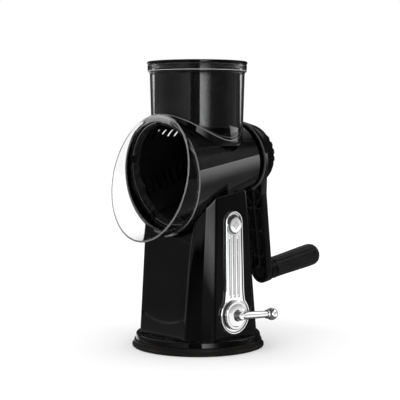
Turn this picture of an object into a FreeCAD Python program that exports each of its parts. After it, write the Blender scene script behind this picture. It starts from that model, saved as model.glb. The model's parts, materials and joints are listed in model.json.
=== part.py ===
import FreeCAD, Part
import math, os
import Sketcher

# Rotary cheese grater.  Millimetres, +Z up, origin on the table at the centre
# of the round suction base.  The mouth faces -Y, the crank is at +Y, the
# suction lever and the chrome keyhole trim are on the +X side.  The drum axis
# lies in the YZ plane and dips towards the mouth.

V, Rot, Place = FreeCAD.Vector, FreeCAD.Rotation, FreeCAD.Placement
doc = FreeCAD.newDocument("rotary_grater")
sheet = doc.addObject("Spreadsheet::Sheet", "dims")

DIMS = [
    # drum axis
    ("axis_y", -0.7), ("axis_z", 186.1), ("axis_dip", 8.9),
    # barrel (front rim, taper, wall)
    ("rim_rad", 59.5), ("rim_s", -50.0), ("taper", 0.212), ("barrel_end", 56.5),
    ("guard_wall", 2.3), ("guard_lean", 11.8), ("spigot_bore", 55.2), ("mouth_bore", 56.6), ("barrel_wall", 2.4), ("rear_boss_rad", 34.0), ("rear_boss_s", 58.0), ("rim_dip", 4.1),
    # hopper
    ("hopper_y", -1.06), ("tube_rad", 48.03), ("tube_rad_z", 243.0), ("tube_flare", 0.0278),
    ("tube_wall", 2.3), ("saddle_rad", 62.5), ("saddle_taper", 0.144), ("collar_bore", 44.9),
    ("lip_low", 283.0), ("lip_mid", 285.5), ("lip_top", 291.4), ("lip_rad", 51.4), ("lip_bore", 47.2),
    # pusher
    ("pusher_rad", 44.4), ("pusher_wall", 2.2), ("pusher_low", 227.0), ("pusher_floor", 241.0),
    ("pusher_top", 291.8), ("lid_rad", 51.9), ("lid_low", 291.8), ("lid_top", 295.0), ("plug_low", 286.0),
    # drum
    ("drum_rad", 54.3), ("drum_front", -43.0), ("drum_ring_back", -37.0), ("drum_back", 44.0),
    ("drum_wall", 1.6), ("hub_rad", 10.5), ("hub_front", 24.0), ("square", 10.0),
    # shaft and bush
    ("shaft_rad", 7.0), ("bush_bore", 7.06), ("bush_rad", 10.9), ("bush_flange", 15.0),
    # crank
    ("bowl_front", 62.0), ("bowl_back", 84.0), ("bowl_rad", 38.5), ("bowl_back_rad", 30.0),
    ("bowl_wall", 2.4), ("arm_front", 75.2), ("arm_top_half", 14.6), ("arm_end_half", 12.8),
    ("crank_len", 132.3), ("crank_turn", 1.6), ("nut_rad", 27.3), ("nut_back", 88.6), ("nut_front", 84.1),
    # grip
    ("grip_collar_front", 84.4), ("grip_front", 96.0), ("grip_end", 166.4), ("grip_rad", 11.7),
    ("grip_bore", 4.06), ("pin_rad", 4.0),
    # column
    ("col_low", 13.6), ("col_mid", 125.0), ("col_top", 172.0), ("col_wall", 2.6), ("col_cut", 57.9),
    # base
    ("skirt_rad", 69.2), ("skirt_top_rad", 66.6), ("skirt_top", 7.4), ("ring_rad", 64.8),
    ("ring_top", 13.5), ("pad_bore", 50.4), ("membrane_rad", 49.6),
    # side trim, lever, button
    ("trim_z", 37.6), ("trim_rad", 19.6), ("trim_half", 12.5), ("trim_top", 143.0),
    ("lever_x", 57.9), ("lever_disc", 15.0), ("lever_reach", 43.0), ("ball_rad", 6.4),
    ("button_z", 129.0), ("button_rad", 8.2), ("cam_rad", 4.0),
]


class Q:
    """A length from the sheet: its value and the expression that gives it."""
    def __init__(self, v, t):
        self.v, self.t = float(v), t

    def _o(self, o):
        return o if isinstance(o, Q) else Q(o, repr(float(o)))

    def __add__(self, o):
        o = self._o(o); return Q(self.v + o.v, "(%s + %s)" % (self.t, o.t))
    __radd__ = __add__

    def __sub__(self, o):
        o = self._o(o); return Q(self.v - o.v, "(%s - %s)" % (self.t, o.t))

    def __rsub__(self, o):
        o = self._o(o); return Q(o.v - self.v, "(%s - %s)" % (o.t, self.t))

    def __mul__(self, o):
        o = self._o(o); return Q(self.v * o.v, "(%s * %s)" % (self.t, o.t))
    __rmul__ = __mul__

    def __truediv__(self, o):
        o = self._o(o); return Q(self.v / o.v, "(%s / %s)" % (self.t, o.t))


D = {}
for i, (alias, val) in enumerate(DIMS):
    cell = "B%d" % (i + 1)
    sheet.set("A%d" % (i + 1), alias)
    sheet.set(cell, str(val))
    sheet.setAlias(cell, alias)
    D[alias] = Q(val, "dims." + alias)
doc.recompute()


def val(x):
    return x.v if isinstance(x, Q) else float(x)


def bind(obj, prop, q):
    if isinstance(q, Q):
        obj.setExpression(prop, q.t)
    else:
        setattr(obj, prop, q)


DIP = D["axis_dip"].v
AX = Place(V(0, D["axis_y"].v, D["axis_z"].v), Rot(V(1, 0, 0), -(90.0 - DIP)))   # local Z runs back along the drum axis
U = AX.Rotation.multVec(V(0, 0, 1))
DOWN = AX.Rotation.multVec(V(0, 1, 0))                                             # towards the grip when the crank hangs


TURN = [0.0]                                                                       # how far the pieces now being made are turned about the drum axis


def ax(s=0.0, d=0.0):
    """Frame on the drum axis, s along it and d across it (downwards)."""
    return AX.multiply(Place(V(0, 0, 0), Rot(V(0, 0, 1), TURN[0]))).multiply(Place(V(0, d, s), Rot()))


def plane_of(body, role):
    for f in body.Origin.OriginFeatures:
        if f.Role == role:
            return f


def polygon(sk, pts):
    """Closed outline whose every corner is driven from the sheet."""
    n = len(pts)
    ids = []
    for i in range(n):
        a, b = pts[i], pts[(i + 1) % n]
        ids.append(sk.addGeometry(Part.LineSegment(V(val(a[0]), val(a[1]), 0), V(val(b[0]), val(b[1]), 0)), False))
    for i in range(n):
        sk.addConstraint(Sketcher.Constraint("Coincident", ids[i], 2, ids[(i + 1) % n], 1))
    for i in range(n):
        for k, kind in ((0, "DistanceX"), (1, "DistanceY")):
            c = pts[i][k]
            if abs(val(c)) < 1e-9:
                sk.addConstraint(Sketcher.Constraint("PointOnObject", ids[i], 1, -2 if k == 0 else -1))
            else:
                j = sk.addConstraint(Sketcher.Constraint(kind, -1, 1, ids[i], 1, val(c)))
                if isinstance(c, Q):
                    sk.setExpression("Constraints[%d]" % j, c.t)


def new_sketch(body, role, name, offset=None):
    sk = body.newObject("Sketcher::SketchObject", name)
    sk.AttachmentSupport = [(plane_of(body, role), "")]
    sk.MapMode = "FlatFace"
    if offset is not None:
        bind(sk, "AttachmentOffset.Base.z", offset) if isinstance(offset, Q) else setattr(sk, "AttachmentOffset", Place(V(0, 0, offset), Rot()))
    return sk


def turned(name, pts, place=None):
    """Body of revolution: corners are (radius, height)."""
    body = doc.addObject("PartDesign::Body", name)
    sk = new_sketch(body, "XZ_Plane", name + "_profile")
    polygon(sk, pts)
    rev = body.newObject("PartDesign::Revolution", name + "_turn")
    rev.Profile = sk
    rev.ReferenceAxis = (sk, ["V_Axis"])
    rev.Angle = 360.0
    if place is not None:
        body.Placement = place
    return body


def plate(name, loops, length, offset=0.0, place=None, role="XY_Plane"):
    """Padded outline(s), the first the outside and the rest holes."""
    body = doc.addObject("PartDesign::Body", name)
    sk = new_sketch(body, role, name + "_outline", offset)
    for pts in loops:
        polygon(sk, pts)
    pad = body.newObject("PartDesign::Pad", name + "_pad")
    pad.Profile = sk
    bind(pad, "Length", length)
    if place is not None:
        body.Placement = place
    return body


def cyl(name, rad, height, place):
    o = doc.addObject("Part::Cylinder", name)
    bind(o, "Radius", rad); bind(o, "Height", height)
    o.Placement = place
    return o


def cone(name, r1, r2, height, place):
    o = doc.addObject("Part::Cone", name)
    bind(o, "Radius1", r1); bind(o, "Radius2", r2); bind(o, "Height", height)
    o.Placement = place
    return o


def box(name, lx, ly, lz, place):
    o = doc.addObject("Part::Box", name)
    bind(o, "Length", lx); bind(o, "Width", ly); bind(o, "Height", lz)
    o.Placement = place
    return o


def ball(name, rad, place):
    o = doc.addObject("Part::Sphere", name)
    bind(o, "Radius", rad)
    o.Placement = place
    return o


def cut(name, base, *tools):
    cur = base
    for i, tl in enumerate(tools):
        c = doc.addObject("Part::Cut", name if i == len(tools) - 1 else "%s_cut%d" % (name, i))
        c.Base, c.Tool = cur, tl
        cur = c
    return cur


def fuse(name, *parts):
    f = doc.addObject("Part::MultiFuse", name)
    f.Shapes = list(parts)
    return f


def common(name, a, b):
    c = doc.addObject("Part::Common", name)
    c.Base, c.Tool = a, b
    return c


NODES = []


def node(obj, label):
    obj.Label = label
    NODES.append(obj)
    return obj


def at(x, y, z, rot=None):
    return Place(V(x, y, z), rot or Rot())


ALONG_X = Rot(V(0, 1, 0), 90)      # local Z -> +X

# ------------------------------------------------------------------ barrel
s0, s1 = D["rim_s"] - 7.0, D["barrel_end"]


def rb(s):            # outside radius of the barrel cone at station s
    return D["rim_rad"] - D["taper"] * (s - D["rim_s"])


def rsad(s):          # radius of the saddle surface on which the clear tube stands
    return D["saddle_rad"] - D["saddle_taper"] * (s - D["rim_s"])


def rdrum(s):
    return D["drum_rad"] - D["taper"] * (s - D["drum_front"])


wall = D["barrel_wall"]
hopper_axis = at(0, D["hopper_y"].v, 0)


def rtube(z):
    return D["tube_rad"] + D["tube_flare"] * (z - D["tube_rad_z"])


shell = cone("barrel_cone", rb(s0), rb(s1), s1 - s0, ax(s0.v))
boss = cyl("rear_boss", D["rear_boss_rad"], D["rear_boss_s"] - s1 + 2.0, ax(s1.v - 2.0))
collar_cone = cone("collar_blank", rtube(186.0), rtube(262.0), 76.0, at(0, D["hopper_y"].v, 186.0))
saddle = cone("saddle_cone", rsad(s0), rsad(Q(70, "70")), 70.0 - s0, ax(s0.v))
collar = common("hopper_collar", collar_cone, saddle)
hollow = cone("barrel_hollow", rb(s0 - 1.0) - wall, rb(s1 - 4.0) - wall, (s1 - 4.0) - (s0 - 1.0), ax(s0.v - 1.0))
mouth_bore = cyl("mouth_bore", D["mouth_bore"], 30.0, ax(-73.5))
bore = cyl("hopper_bore", D["collar_bore"], 80.0, at(0, D["hopper_y"].v, 190.0))
bush_hole = cyl("bush_hole", D["bush_rad"], 30.0, ax(40.0))
mouth_pt = ax(D["rim_s"].v).Base
front_cut = box("mouth_plane", 160.0, 40.0, 170.0, Place(mouth_pt, Rot(V(1, 0, 0), D["rim_dip"].v)).multiply(at(-80, -40, -85)))
barrel = cut("barrel_housing", fuse("barrel_solid", shell, boss, collar), hollow, mouth_bore, bore, bush_hole, front_cut)
node(barrel, "barrel_housing")

# foot of the barrel: a plug that drops into the top of the column
foot_blank = plate("foot_blank", [[(-34.0, -26.0), (34.0, -26.0), (38.0, -19.0), (38.0, 14.0), (34.0, 21.0), (-34.0, 21.0), (-38.0, 14.0), (-38.0, -19.0)]], 60.0, 118.0)
foot_over = cone("foot_over", rb(s0), rb(s1), s1 - s0, ax(s0.v))
foot_core = plate("foot_core", [[(-32.0, -22.8), (32.0, -22.8), (35.0, -17.0), (35.0, 12.0), (32.0, 17.8), (-32.0, 17.8), (-35.0, 12.0), (-35.0, -17.0)]], 62.0, 116.0)
foot_core_cap = cone("foot_core_cap", rb(s0) + 3.0, rb(s1) + 3.0, s1 - s0, ax(s0.v))
foot_in = cut("foot_inside", foot_core, foot_core_cap)
keyway = box("latch_keyway", 10.0, 9.0, 22.0, at(32.0, -4.5, 114.0))
barrel_foot = cut("barrel_foot", foot_blank, foot_over, foot_in, keyway)
node(barrel_foot, "barrel_foot")

# clear hopper tube with a flared lip, standing on the saddle of the barrel
z0 = 200.0
tw = D["tube_wall"]
tube = turned("hopper_blank", [
    (rtube(z0) - tw, z0), (rtube(z0), z0), (rtube(D["lip_low"]), D["lip_low"]), (D["lip_rad"], D["lip_mid"]),
    (D["lip_rad"], D["lip_top"]), (D["lip_bore"], D["lip_top"]), (rtube(D["lip_low"]) - tw, D["lip_low"])], hopper_axis)
saddle2 = cone("saddle_cone_2", rsad(s0), rsad(Q(70, "70")), 70.0 - s0, ax(s0.v))
node(cut("hopper_tube", tube, saddle2), "hopper_tube")

# clear splash guard: a sleeve that continues the mouth, cut obliquely so that
# its lower edge reaches further forward
rim_frame = Place(mouth_pt, Rot(V(1, 0, 0), D["rim_dip"].v))
front_frame = Place(V(0, -65.9, 178.7), Rot(V(1, 0, 0), -D["guard_lean"].v))
sleeve_out = cyl("guard_outside", D["rim_rad"] - 0.1, 60.0, ax(-98.0))
sleeve_in = cyl("guard_inside", D["rim_rad"] - 0.1 - D["guard_wall"], 62.0, ax(-99.0))
behind_rim = box("behind_rim", 160.0, 80.0, 200.0, rim_frame.multiply(at(-80, -0.05, -100)))
ahead_front = box("ahead_of_front", 160.0, 80.0, 200.0, front_frame.multiply(at(-80, -80, -100)))
sleeve = cut("guard_sleeve", sleeve_out, sleeve_in, behind_rim, ahead_front)
flange_out = cyl("flange_outside", D["rim_rad"] - 0.1, 30.0, ax(-70.0))
flange_in = cyl("flange_inside", D["spigot_bore"], 32.0, ax(-71.0))
behind_rim2 = box("behind_rim_2", 160.0, 80.0, 200.0, rim_frame.multiply(at(-80, -0.05, -100)))
ahead_rim = box("ahead_of_rim", 160.0, 80.0, 200.0, rim_frame.multiply(at(-80, -81.8, -100)))
flange = cut("guard_flange", flange_out, flange_in, behind_rim2, ahead_rim)
spigot_out = cyl("spigot_outside", D["mouth_bore"] - 0.3, 16.6, ax(-60.6))
spigot_in = cyl("spigot_inside", D["spigot_bore"], 20.0, ax(-62.0))
ahead_rim2 = box("ahead_of_rim_2", 160.0, 80.0, 200.0, rim_frame.multiply(at(-80, -81.0, -100)))
spigot = cut("guard_spigot", spigot_out, spigot_in, ahead_rim2)
node(fuse("splash_guard", sleeve, flange, spigot), "splash_guard")

# ------------------------------------------------------------------ pusher
pusher_blank = turned("pusher_blank", [
    (0, D["pusher_low"]), (D["pusher_rad"], D["pusher_low"]), (D["pusher_rad"], D["pusher_top"]),
    (D["pusher_rad"] - D["pusher_wall"], D["pusher_top"]), (D["pusher_rad"] - D["pusher_wall"], D["pusher_floor"]), (0, D["pusher_floor"])], hopper_axis)
arch = cone("pusher_arch", rdrum(s0) + 2.2, rdrum(s1) + 2.2, s1 - s0, ax(s0.v))
node(cut("pusher_body", pusher_blank, arch), "pusher_body")
lid = turned("pusher_lid", [
    (0, D["plug_low"]), (D["pusher_rad"] - D["pusher_wall"], D["plug_low"]), (D["pusher_rad"] - D["pusher_wall"], D["lid_low"]),
    (D["lid_rad"] - 0.3, D["lid_low"]), (D["lid_rad"], D["lid_low"] + 0.6), (D["lid_rad"], D["lid_top"] - 0.8), (D["lid_rad"] - 0.8, D["lid_top"]),
    (0, D["lid_top"])], hopper_axis)
node(lid, "pusher_lid")

# ------------------------------------------------------------------ drum
df, dr, db, dw = D["drum_front"], D["drum_ring_back"], D["drum_back"], D["drum_wall"]
drum_ring = turned("drum_ring", [
    (rdrum(df) - 3.0, df), (rdrum(df), df), (rdrum(dr), dr), (rdrum(dr) - 3.0, dr)], ax())
node(drum_ring, "drum_ring")
drum_cone = turned("drum_cone", [
    (rdrum(dr) - dw, dr), (rdrum(dr), dr), (rdrum(db), db), (0, db), (0, db - 3.0), (rdrum(db - 3.0) - dw, db - 3.0)], ax())
drum_hub = cyl("drum_hub", D["hub_rad"], D["drum_back"] - D["hub_front"], ax(D["hub_front"].v))
square_hole = box("square_hole", D["square"] + 0.3, D["square"] + 0.3, 40.0, ax().multiply(at(-(D["square"].v + 0.3) / 2, -(D["square"].v + 0.3) / 2, 20.0)))
slots = []
for seg in range(5):
    for k in range(7):
        s = -31.0 + 8.7 * k
        ang = -31.0 + 72.0 * seg + 1.6 * (s + 31.0) / 8.7
        r = D["drum_rad"].v - D["taper"].v * (s - D["drum_front"].v)
        f = ax().multiply(Place(V(0, 0, s), Rot(V(0, 0, 1), ang))).multiply(at(0, -r, 0))
        slots.append(box("slot_%d_%d" % (seg, k), 16.0 * r / 50.0, 8.0, 3.4, f.multiply(Place(V(-8.0 * r / 50.0, -4.0, -1.7), Rot()))))
slot_set = doc.addObject("Part::Compound", "drum_slots")
slot_set.Links = slots
node(cut("drum_body", fuse("drum_solid", drum_cone, drum_hub), square_hole, slot_set), "drum_body")

# five toothed stainless strips, one behind each row of slots, on the outside
blades = []
for seg in range(5):
    ang = -31.0 + 72.0 * seg - 16.0
    sa, sb = -33.0, 28.0
    ra = D["drum_rad"].v - D["taper"].v * (sa - D["drum_front"].v) - D["drum_wall"].v - 0.7
    tilt = math.degrees(math.atan(D["taper"].v))
    f = ax().multiply(Place(V(0, 0, sa), Rot(V(0, 0, 1), ang))).multiply(Place(V(0, -ra, 0), Rot(V(1, 0, 0), -tilt)))
    blades.append(box("blade_%d" % seg, 3.0, 0.7, (sb - sa) / math.cos(math.radians(tilt)), f.multiply(at(-1.5, -0.35, 0))))
blade_set = doc.addObject("Part::Compound", "drum_blades")
blade_set.Links = blades
node(blade_set, "drum_blades")

# ------------------------------------------------------------------ bush, shaft, crank
bush = turned("shaft_bush", [
    (D["bush_bore"], 49.5), (D["bush_flange"], 49.5), (D["bush_flange"], D["barrel_end"] - 4.0), (D["bush_rad"], D["barrel_end"] - 4.0),
    (D["bush_rad"], D["rear_boss_s"] + 0.2), (D["bush_bore"], D["rear_boss_s"] + 0.2)], ax())
node(bush, "shaft_bush")
washer = turned("thrust_washer", [(7.1, 58.5), (14.0, 58.5), (14.0, 60.0), (7.1, 60.0)], ax())
node(washer, "thrust_washer")
shaft_round = cyl("shaft_round", D["shaft_rad"], D["nut_front"] - 46.0, ax(46.0))
shaft_square = box("shaft_square", D["square"], D["square"], 20.5, ax().multiply(at(-D["square"].v / 2, -D["square"].v / 2, 26.0)))
node(fuse("drive_shaft", shaft_round, shaft_square), "drive_shaft")

# the crank rests a little short of straight down
TURN[0] = D["crank_turn"].v
bf, bb, bw = D["bowl_front"], D["bowl_back"], D["bowl_wall"]
bowl = cone("hub_bowl", D["bowl_rad"], D["bowl_back_rad"], bb - bf, ax(bf.v))
arm_blank = plate("arm_blank", [[(-19.0, 20.0), (19.0, 20.0), (D["arm_top_half"], 44.0), (D["arm_end_half"], D["crank_len"]),
                                 (D["arm_end_half"] * -1.0, D["crank_len"]), (D["arm_top_half"] * -1.0, 44.0)]],
                  bb - D["arm_front"], D["arm_front"], ax())
arm_end = cyl("arm_end", D["arm_end_half"], bb - D["arm_front"], ax(D["arm_front"].v, D["crank_len"].v))
bowl_in = cone("hub_hollow", D["bowl_rad"] - bw, D["bowl_back_rad"] - bw + 0.8, bb - bf - 3.0, ax(bf.v - 0.01))
arm_in = plate("arm_hollow", [[(-16.0, 18.0), (16.0, 18.0), (D["arm_top_half"] - 2.2, 44.0), (D["arm_end_half"] - 2.2, D["crank_len"]),
                               (D["arm_end_half"] * -1.0 + 2.2, D["crank_len"]), (D["arm_top_half"] * -1.0 + 2.2, 44.0)]],
               20.0, 61.5, ax())
arm_in_end = cyl("arm_hollow_end", D["arm_end_half"] - 2.2, 20.0, ax(61.5, D["crank_len"].v))
hub_boss = cyl("hub_boss", 15.0, bb - 60.2, ax(60.2))
pin_boss = cyl("pin_boss", 7.0, bb - 79.0, ax(79.0, D["crank_len"].v))
ribs = [box("rib_long", 1.6, 90.0, 6.8, ax().multiply(at(-0.8, 34.0, 76.2)))]
for i, (d, h) in enumerate(((34.0, 13.6), (60.0, 12.4), (87.0, 11.9), (115.0, 11.2))):
    ribs.append(box("rib_%d" % i, 2 * h, 1.6, 6.8, ax().multiply(at(-h, d - 0.8, 76.2))))
shaft_hole = cyl("shaft_hole", D["shaft_rad"], 40.0, ax(50.0))
pin_hole = cyl("pin_hole", D["pin_rad"], 40.0, ax(60.0, D["crank_len"].v))
arm_shell = cut("arm_shell", fuse("arm_solid", bowl, arm_blank, arm_end), bowl_in, arm_in, arm_in_end)
node(cut("crank_arm", fuse("arm_ribbed", arm_shell, hub_boss, pin_boss, *ribs), shaft_hole, pin_hole), "crank_arm")

# scalloped nut that clamps the crank on its shaft
nut = doc.addObject("PartDesign::Body", "nut_blank")
sk = new_sketch(nut, "XY_Plane", "nut_outline")
c = sk.addGeometry(Part.Circle(V(0, 0, 0), V(0, 0, 1), D["nut_rad"].v), False)
sk.addConstraint(Sketcher.Constraint("Coincident", c, 3, -1, 1))
j = sk.addConstraint(Sketcher.Constraint("Radius", c, D["nut_rad"].v))
sk.setExpression("Constraints[%d]" % j, "dims.nut_rad")
pad = nut.newObject("PartDesign::Pad", "nut_pad")
pad.Profile = sk
pad.setExpression("Length", (D["nut_back"] - D["nut_front"]).t)
nut.Placement = ax(D["nut_front"].v)
scallops = []
for i in range(20):
    a = math.radians(3.5 + 18.0 * i)
    rr = D["nut_rad"].v + 2.0
    scallops.append(cyl("scallop_%d" % i, 3.4, 12.0, ax().multiply(at(rr * math.sin(a), -rr * math.cos(a), D["nut_front"].v - 3.0))))
scallop_set = doc.addObject("Part::Compound", "scallops")
scallop_set.Links = scallops
node(cut("crank_nut", nut, scallop_set), "crank_nut")

# ------------------------------------------------------------------ grip
L = D["crank_len"].v
pin = turned("grip_pin", [
    (0, 76.2), (5.8, 76.2), (6.4, 76.9), (6.4, 78.98), (D["pin_rad"], 78.98), (D["pin_rad"], 150.0), (0, 150.0)], ax(0, L))
node(pin, "grip_pin")
collar_g = turned("grip_collar", [
    (D["grip_bore"], D["grip_collar_front"]), (12.6, D["grip_collar_front"]), (12.6, D["grip_collar_front"] + 1.2), (12.0, D["grip_front"] - 0.1), (D["grip_bore"], D["grip_front"] - 0.1)], ax(0, L))
node(collar_g, "grip_collar")
gf, ged, grr = D["grip_front"], D["grip_end"], D["grip_rad"]
grip_prof = [(D["grip_bore"], gf), (grr - 0.4, gf), (grr, gf + 1.0), (grr + 0.9, ged - 9.0), (grr + 0.5, ged - 5.0), (grr - 1.0, ged - 2.2), (grr - 4.0, ged - 0.6), (grr - 7.6, ged), (0, ged), (0, 152.0), (D["grip_bore"], 152.0)]
grip_blank = turned("grip_blank", grip_prof, ax(0, L))
node(grip_blank, "grip")
TURN[0] = 0.0

# ------------------------------------------------------------------ column


def section(k_x, yf, yb, wall_t=0.0):
    """Twelve-sided column outline.  k_x = (front panel half, corner half, side half)."""
    a, b, c = k_x
    w = wall_t
    return [(-a + w * 0.4, yf[0] + w), (a - w * 0.4, yf[0] + w), (b - w * 0.8, yf[1] + w * 0.7), (c - w, yf[2] + w * 0.4),
            (c - w, yb[2] - w * 0.4), (b - w * 0.8, yb[1] - w * 0.7), (a - w * 0.4, yb[0] - w), (-a + w * 0.4, yb[0] - w),
            (-b + w * 0.8, yb[1] - w * 0.7), (-c + w, yb[2] - w * 0.4), (-c + w, yf[2] + w * 0.4), (-b + w * 0.8, yf[1] + w * 0.7)]


LOW = ((35.0, 46.0, 55.0), (-50.0, -38.0, -27.0), (51.5, 39.5, 28.5))
MID = ((37.0, 47.0, 53.0), (-40.6, -32.8, -23.6), (37.5, 28.5, 22.5))
TOP = ((38.0, 47.4, 52.0), (-36.4, -30.5, -22.1), (29.5, 22.0, 18.5))


def column(name, wall_t, zs):
    body = doc.addObject("PartDesign::Body", name)
    sks = []
    for tag, sec, z in zip(("low", "mid", "top"), (LOW, MID, TOP), zs):
        sk = new_sketch(body, "XY_Plane", "%s_%s" % (name, tag), z)
        polygon(sk, section(*sec, wall_t=wall_t))
        sks.append(sk)
    loft = body.newObject("PartDesign::AdditiveLoft", name + "_loft")
    loft.Profile = sks[0]
    loft.Sections = sks[1:]
    loft.Ruled = True
    return body


col_out = column("column_outside", 0.0, (D["col_low"], D["col_mid"], D["col_top"]))
col_in = column("column_inside", 2.6, (D["col_low"] - 0.5, D["col_mid"], D["col_top"] + 0.5))
barrel_room = cyl("barrel_room", D["col_cut"], 200.0, ax(-100.0))
barrel_room_front = cone("barrel_room_front", rb(s0) + 0.45, rb(Q(-30.0, "-30")) + 0.45, -30.0 - s0, ax(s0.v))
cam_hole = cyl("cam_hole", D["cam_rad"] + 0.06, 20.0, at(45.0, 0, D["trim_z"].v, ALONG_X))
button_hole = cyl("button_hole", D["button_rad"] + 0.3, 20.0, at(42.0, 0, D["button_z"].v, ALONG_X))
posts, post_holes = [], []
for i, a in enumerate((45, 135, 225, 315)):
    px, py = 52.3 * math.cos(math.radians(a)), 52.3 * math.sin(math.radians(a))
    posts.append(cyl("post_%d" % i, 4.6, 18.0, at(px, py, D["col_low"].v)))
    post_holes.append(cyl("post_hole_%d" % i, 1.5, 12.0, at(px, py, D["col_low"].v - 1.0)))
post_set = common("posts_inside", fuse("posts", *posts), column("post_limit", 0.0, (D["col_low"], D["col_mid"], D["col_top"])))
node(cut("base_housing", fuse("column_and_posts", cut("column_shell", col_out, col_in), post_set), barrel_room, barrel_room_front, cam_hole, button_hole, *post_holes), "base_housing")

# ------------------------------------------------------------------ base
node(turned("base_ring", [
    (56.4, D["skirt_top"] + 0.02), (D["ring_rad"] + 0.9, D["skirt_top"] + 0.02), (D["ring_rad"] + 0.5, D["ring_top"] - 3.0), (D["ring_rad"], D["ring_top"] - 0.8),
    (D["ring_rad"] - 0.7, D["ring_top"]), (46.0, D["ring_top"]), (46.0, D["ring_top"] - 2.5), (56.4, D["ring_top"] - 2.5)]), "base_ring")
node(turned("suction_skirt", [
    (D["pad_bore"], 0), (D["skirt_rad"] - 0.8, 0), (D["skirt_rad"], 1.0), (D["skirt_rad"], 2.0), (D["skirt_rad"] - 1.2, 4.2), (D["skirt_top_rad"], 6.4), (D["skirt_top_rad"] - 0.4, D["skirt_top"]),
    (D["pad_bore"], D["skirt_top"])]), "suction_skirt")
node(turned("suction_membrane", [
    (0, 0), (D["membrane_rad"], 0), (D["membrane_rad"], 2.4), (20.0, 3.4), (20.0, 5.0), (0, 5.0)]), "suction_membrane")
node(turned("suction_stem", [
    (0, 5.02), (18.0, 5.02), (18.0, 6.6), (5.0, 6.6), (5.0, 27.2), (0, 27.2)]), "suction_stem")
frame_plate = turned("frame_blank", [(5.3, 16.0), (24.0, 16.0), (24.0, 19.0), (9.0, 19.0), (9.0, 28.0), (5.3, 28.0)])
arms = [box("frame_arm_%d" % i, 51.9 - 20.0, 9.0, 3.0, Place(V(0, 0, 16.0), Rot(V(0, 0, 1), a)).multiply(at(20.0, -4.5, 0))) for i, a in enumerate((0, 180))]
arms += [box("frame_arm_y%d" % i, 46.8 - 20.0, 9.0, 3.0, Place(V(0, 0, 16.0), Rot(V(0, 0, 1), a)).multiply(at(20.0, -4.5, 0))) for i, a in enumerate((90, 270))]
bearing = box("cam_bearing", 7.0, 14.0, 22.5, at(30.0, -7.0, 18.5))
bearing_hole = cyl("bearing_hole", D["cam_rad"] + 0.06, 20.0, at(24.0, 0, D["trim_z"].v, ALONG_X))
bearing2 = box("cam_bearing_far", 7.0, 14.0, 22.5, at(-37.0, -7.0, 18.5))
bearing2_hole = cyl("bearing_hole_far", D["cam_rad"] + 0.06, 20.0, at(-44.0, 0, D["trim_z"].v, ALONG_X))
node(cut("suction_frame", fuse("frame_solid", frame_plate, *(arms + [bearing, bearing2])), bearing_hole, bearing2_hole), "suction_frame")
# screws that hold the frame to the base ring and the ring to the column
scr = []
for i, a in enumerate((45, 135, 225, 315)):
    c0 = V(52.3 * math.cos(math.radians(a)), 52.3 * math.sin(math.radians(a)), 0)
    scr.append(fuse("screw_%d" % i, cyl("screw_head_%d" % i, 2.9, 2.2, at(c0.x, c0.y, 8.7)), cyl("screw_shank_%d" % i, 1.5, 8.0, at(c0.x, c0.y, 10.9))))
scr_set = doc.addObject("Part::Compound", "base_screws")
scr_set.Links = scr
node(scr_set, "base_screws")

# ------------------------------------------------------------------ lever, cam shaft
zc = D["trim_z"].v
cam_shaft = cyl("cam_shaft_rod", D["cam_rad"], D["lever_x"] + 38.0 - 0.3, at(-38.0, 0, zc, ALONG_X))
cam_lobe = cyl("cam_lobe", 6.0, 14.0, at(-7.0, 0, zc, ALONG_X))
node(fuse("cam_shaft", cam_shaft, cam_lobe), "cam_shaft")
disc = turned("lever_disc", [(0, -0.28), (D["lever_disc"], -0.28), (D["lever_disc"], 0.9), (D["lever_disc"] - 1.2, 1.6), (D["lever_disc"] - 6.0, 2.9), (5.4, 3.4), (5.2, 6.0), (0, 6.0)], at(D["lever_x"].v, 0, zc, ALONG_X))
lx = D["lever_x"].v + 7.6
arm_a = V(lx - 0.6, 0, zc)
arm_b = V(lx + 0.4, D["lever_reach"].v, zc - 2.6)
dirv = arm_b - arm_a
lever_arm = cone("lever_rod", 3.9, 3.2, dirv.Length, Place(arm_a, Rot(V(0, 0, 1), dirv)))
lever_ball = ball("lever_ball", D["ball_rad"], Place(arm_b, Rot()))
lever_root = ball("lever_root", 4.6, Place(arm_a, Rot()))
node(fuse("suction_lever", disc, lever_arm, lever_ball, lever_root), "suction_lever")

# ------------------------------------------------------------------ side trim, button, latch


def side_x(z):
    """X of the column's side face at height z."""
    if z <= 125.0:
        return 55.0 - (z - 13.6) / (125.0 - 13.6) * 2.0
    return 53.0 - (z - 125.0) / 47.0 * 1.0


lean = math.degrees(math.atan(2.0 / 111.4))
trim_place = Place(V(side_x(zc) + 0.02, 0, zc), Rot(V(0, 1, 0), 90 - lean))   # local Z out of the face, local X down the face
tr, th = D["trim_rad"], D["trim_half"]
up = D["trim_top"].v - zc
trim_head = cyl("trim_round", tr, 2.4, trim_place)
trim_stem = plate("trim_stem", [[(D["trim_top"] * -1.0 + D["trim_z"] + 11.4, -11.4), (D["trim_top"] * -1.0 + D["trim_z"] + 11.4, 11.4), (-22.0, D["trim_half"]), (-8.0, 17.6), (-8.0, -17.6), (-22.0, D["trim_half"] * -1.0)]], 2.4, 0.0, trim_place)
trim_topr = cyl("trim_top_round", 11.4, 2.4, trim_place.multiply(at(-(up - 11.4), 0, 0)))
trim_cam = cyl("trim_cam_hole", D["cam_rad"] + 0.06, 10.0, trim_place.multiply(at(0, 0, -4.0)))
trim_btn = cyl("trim_button_hole", D["button_rad"] + 0.35, 12.0, at(side_x(129.0) - 4.0, 0, D["button_z"].v, ALONG_X))
node(cut("side_trim", fuse("trim_solid", trim_head, trim_stem, trim_topr), trim_cam, trim_btn), "side_trim")
bx = side_x(129.0)
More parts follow.
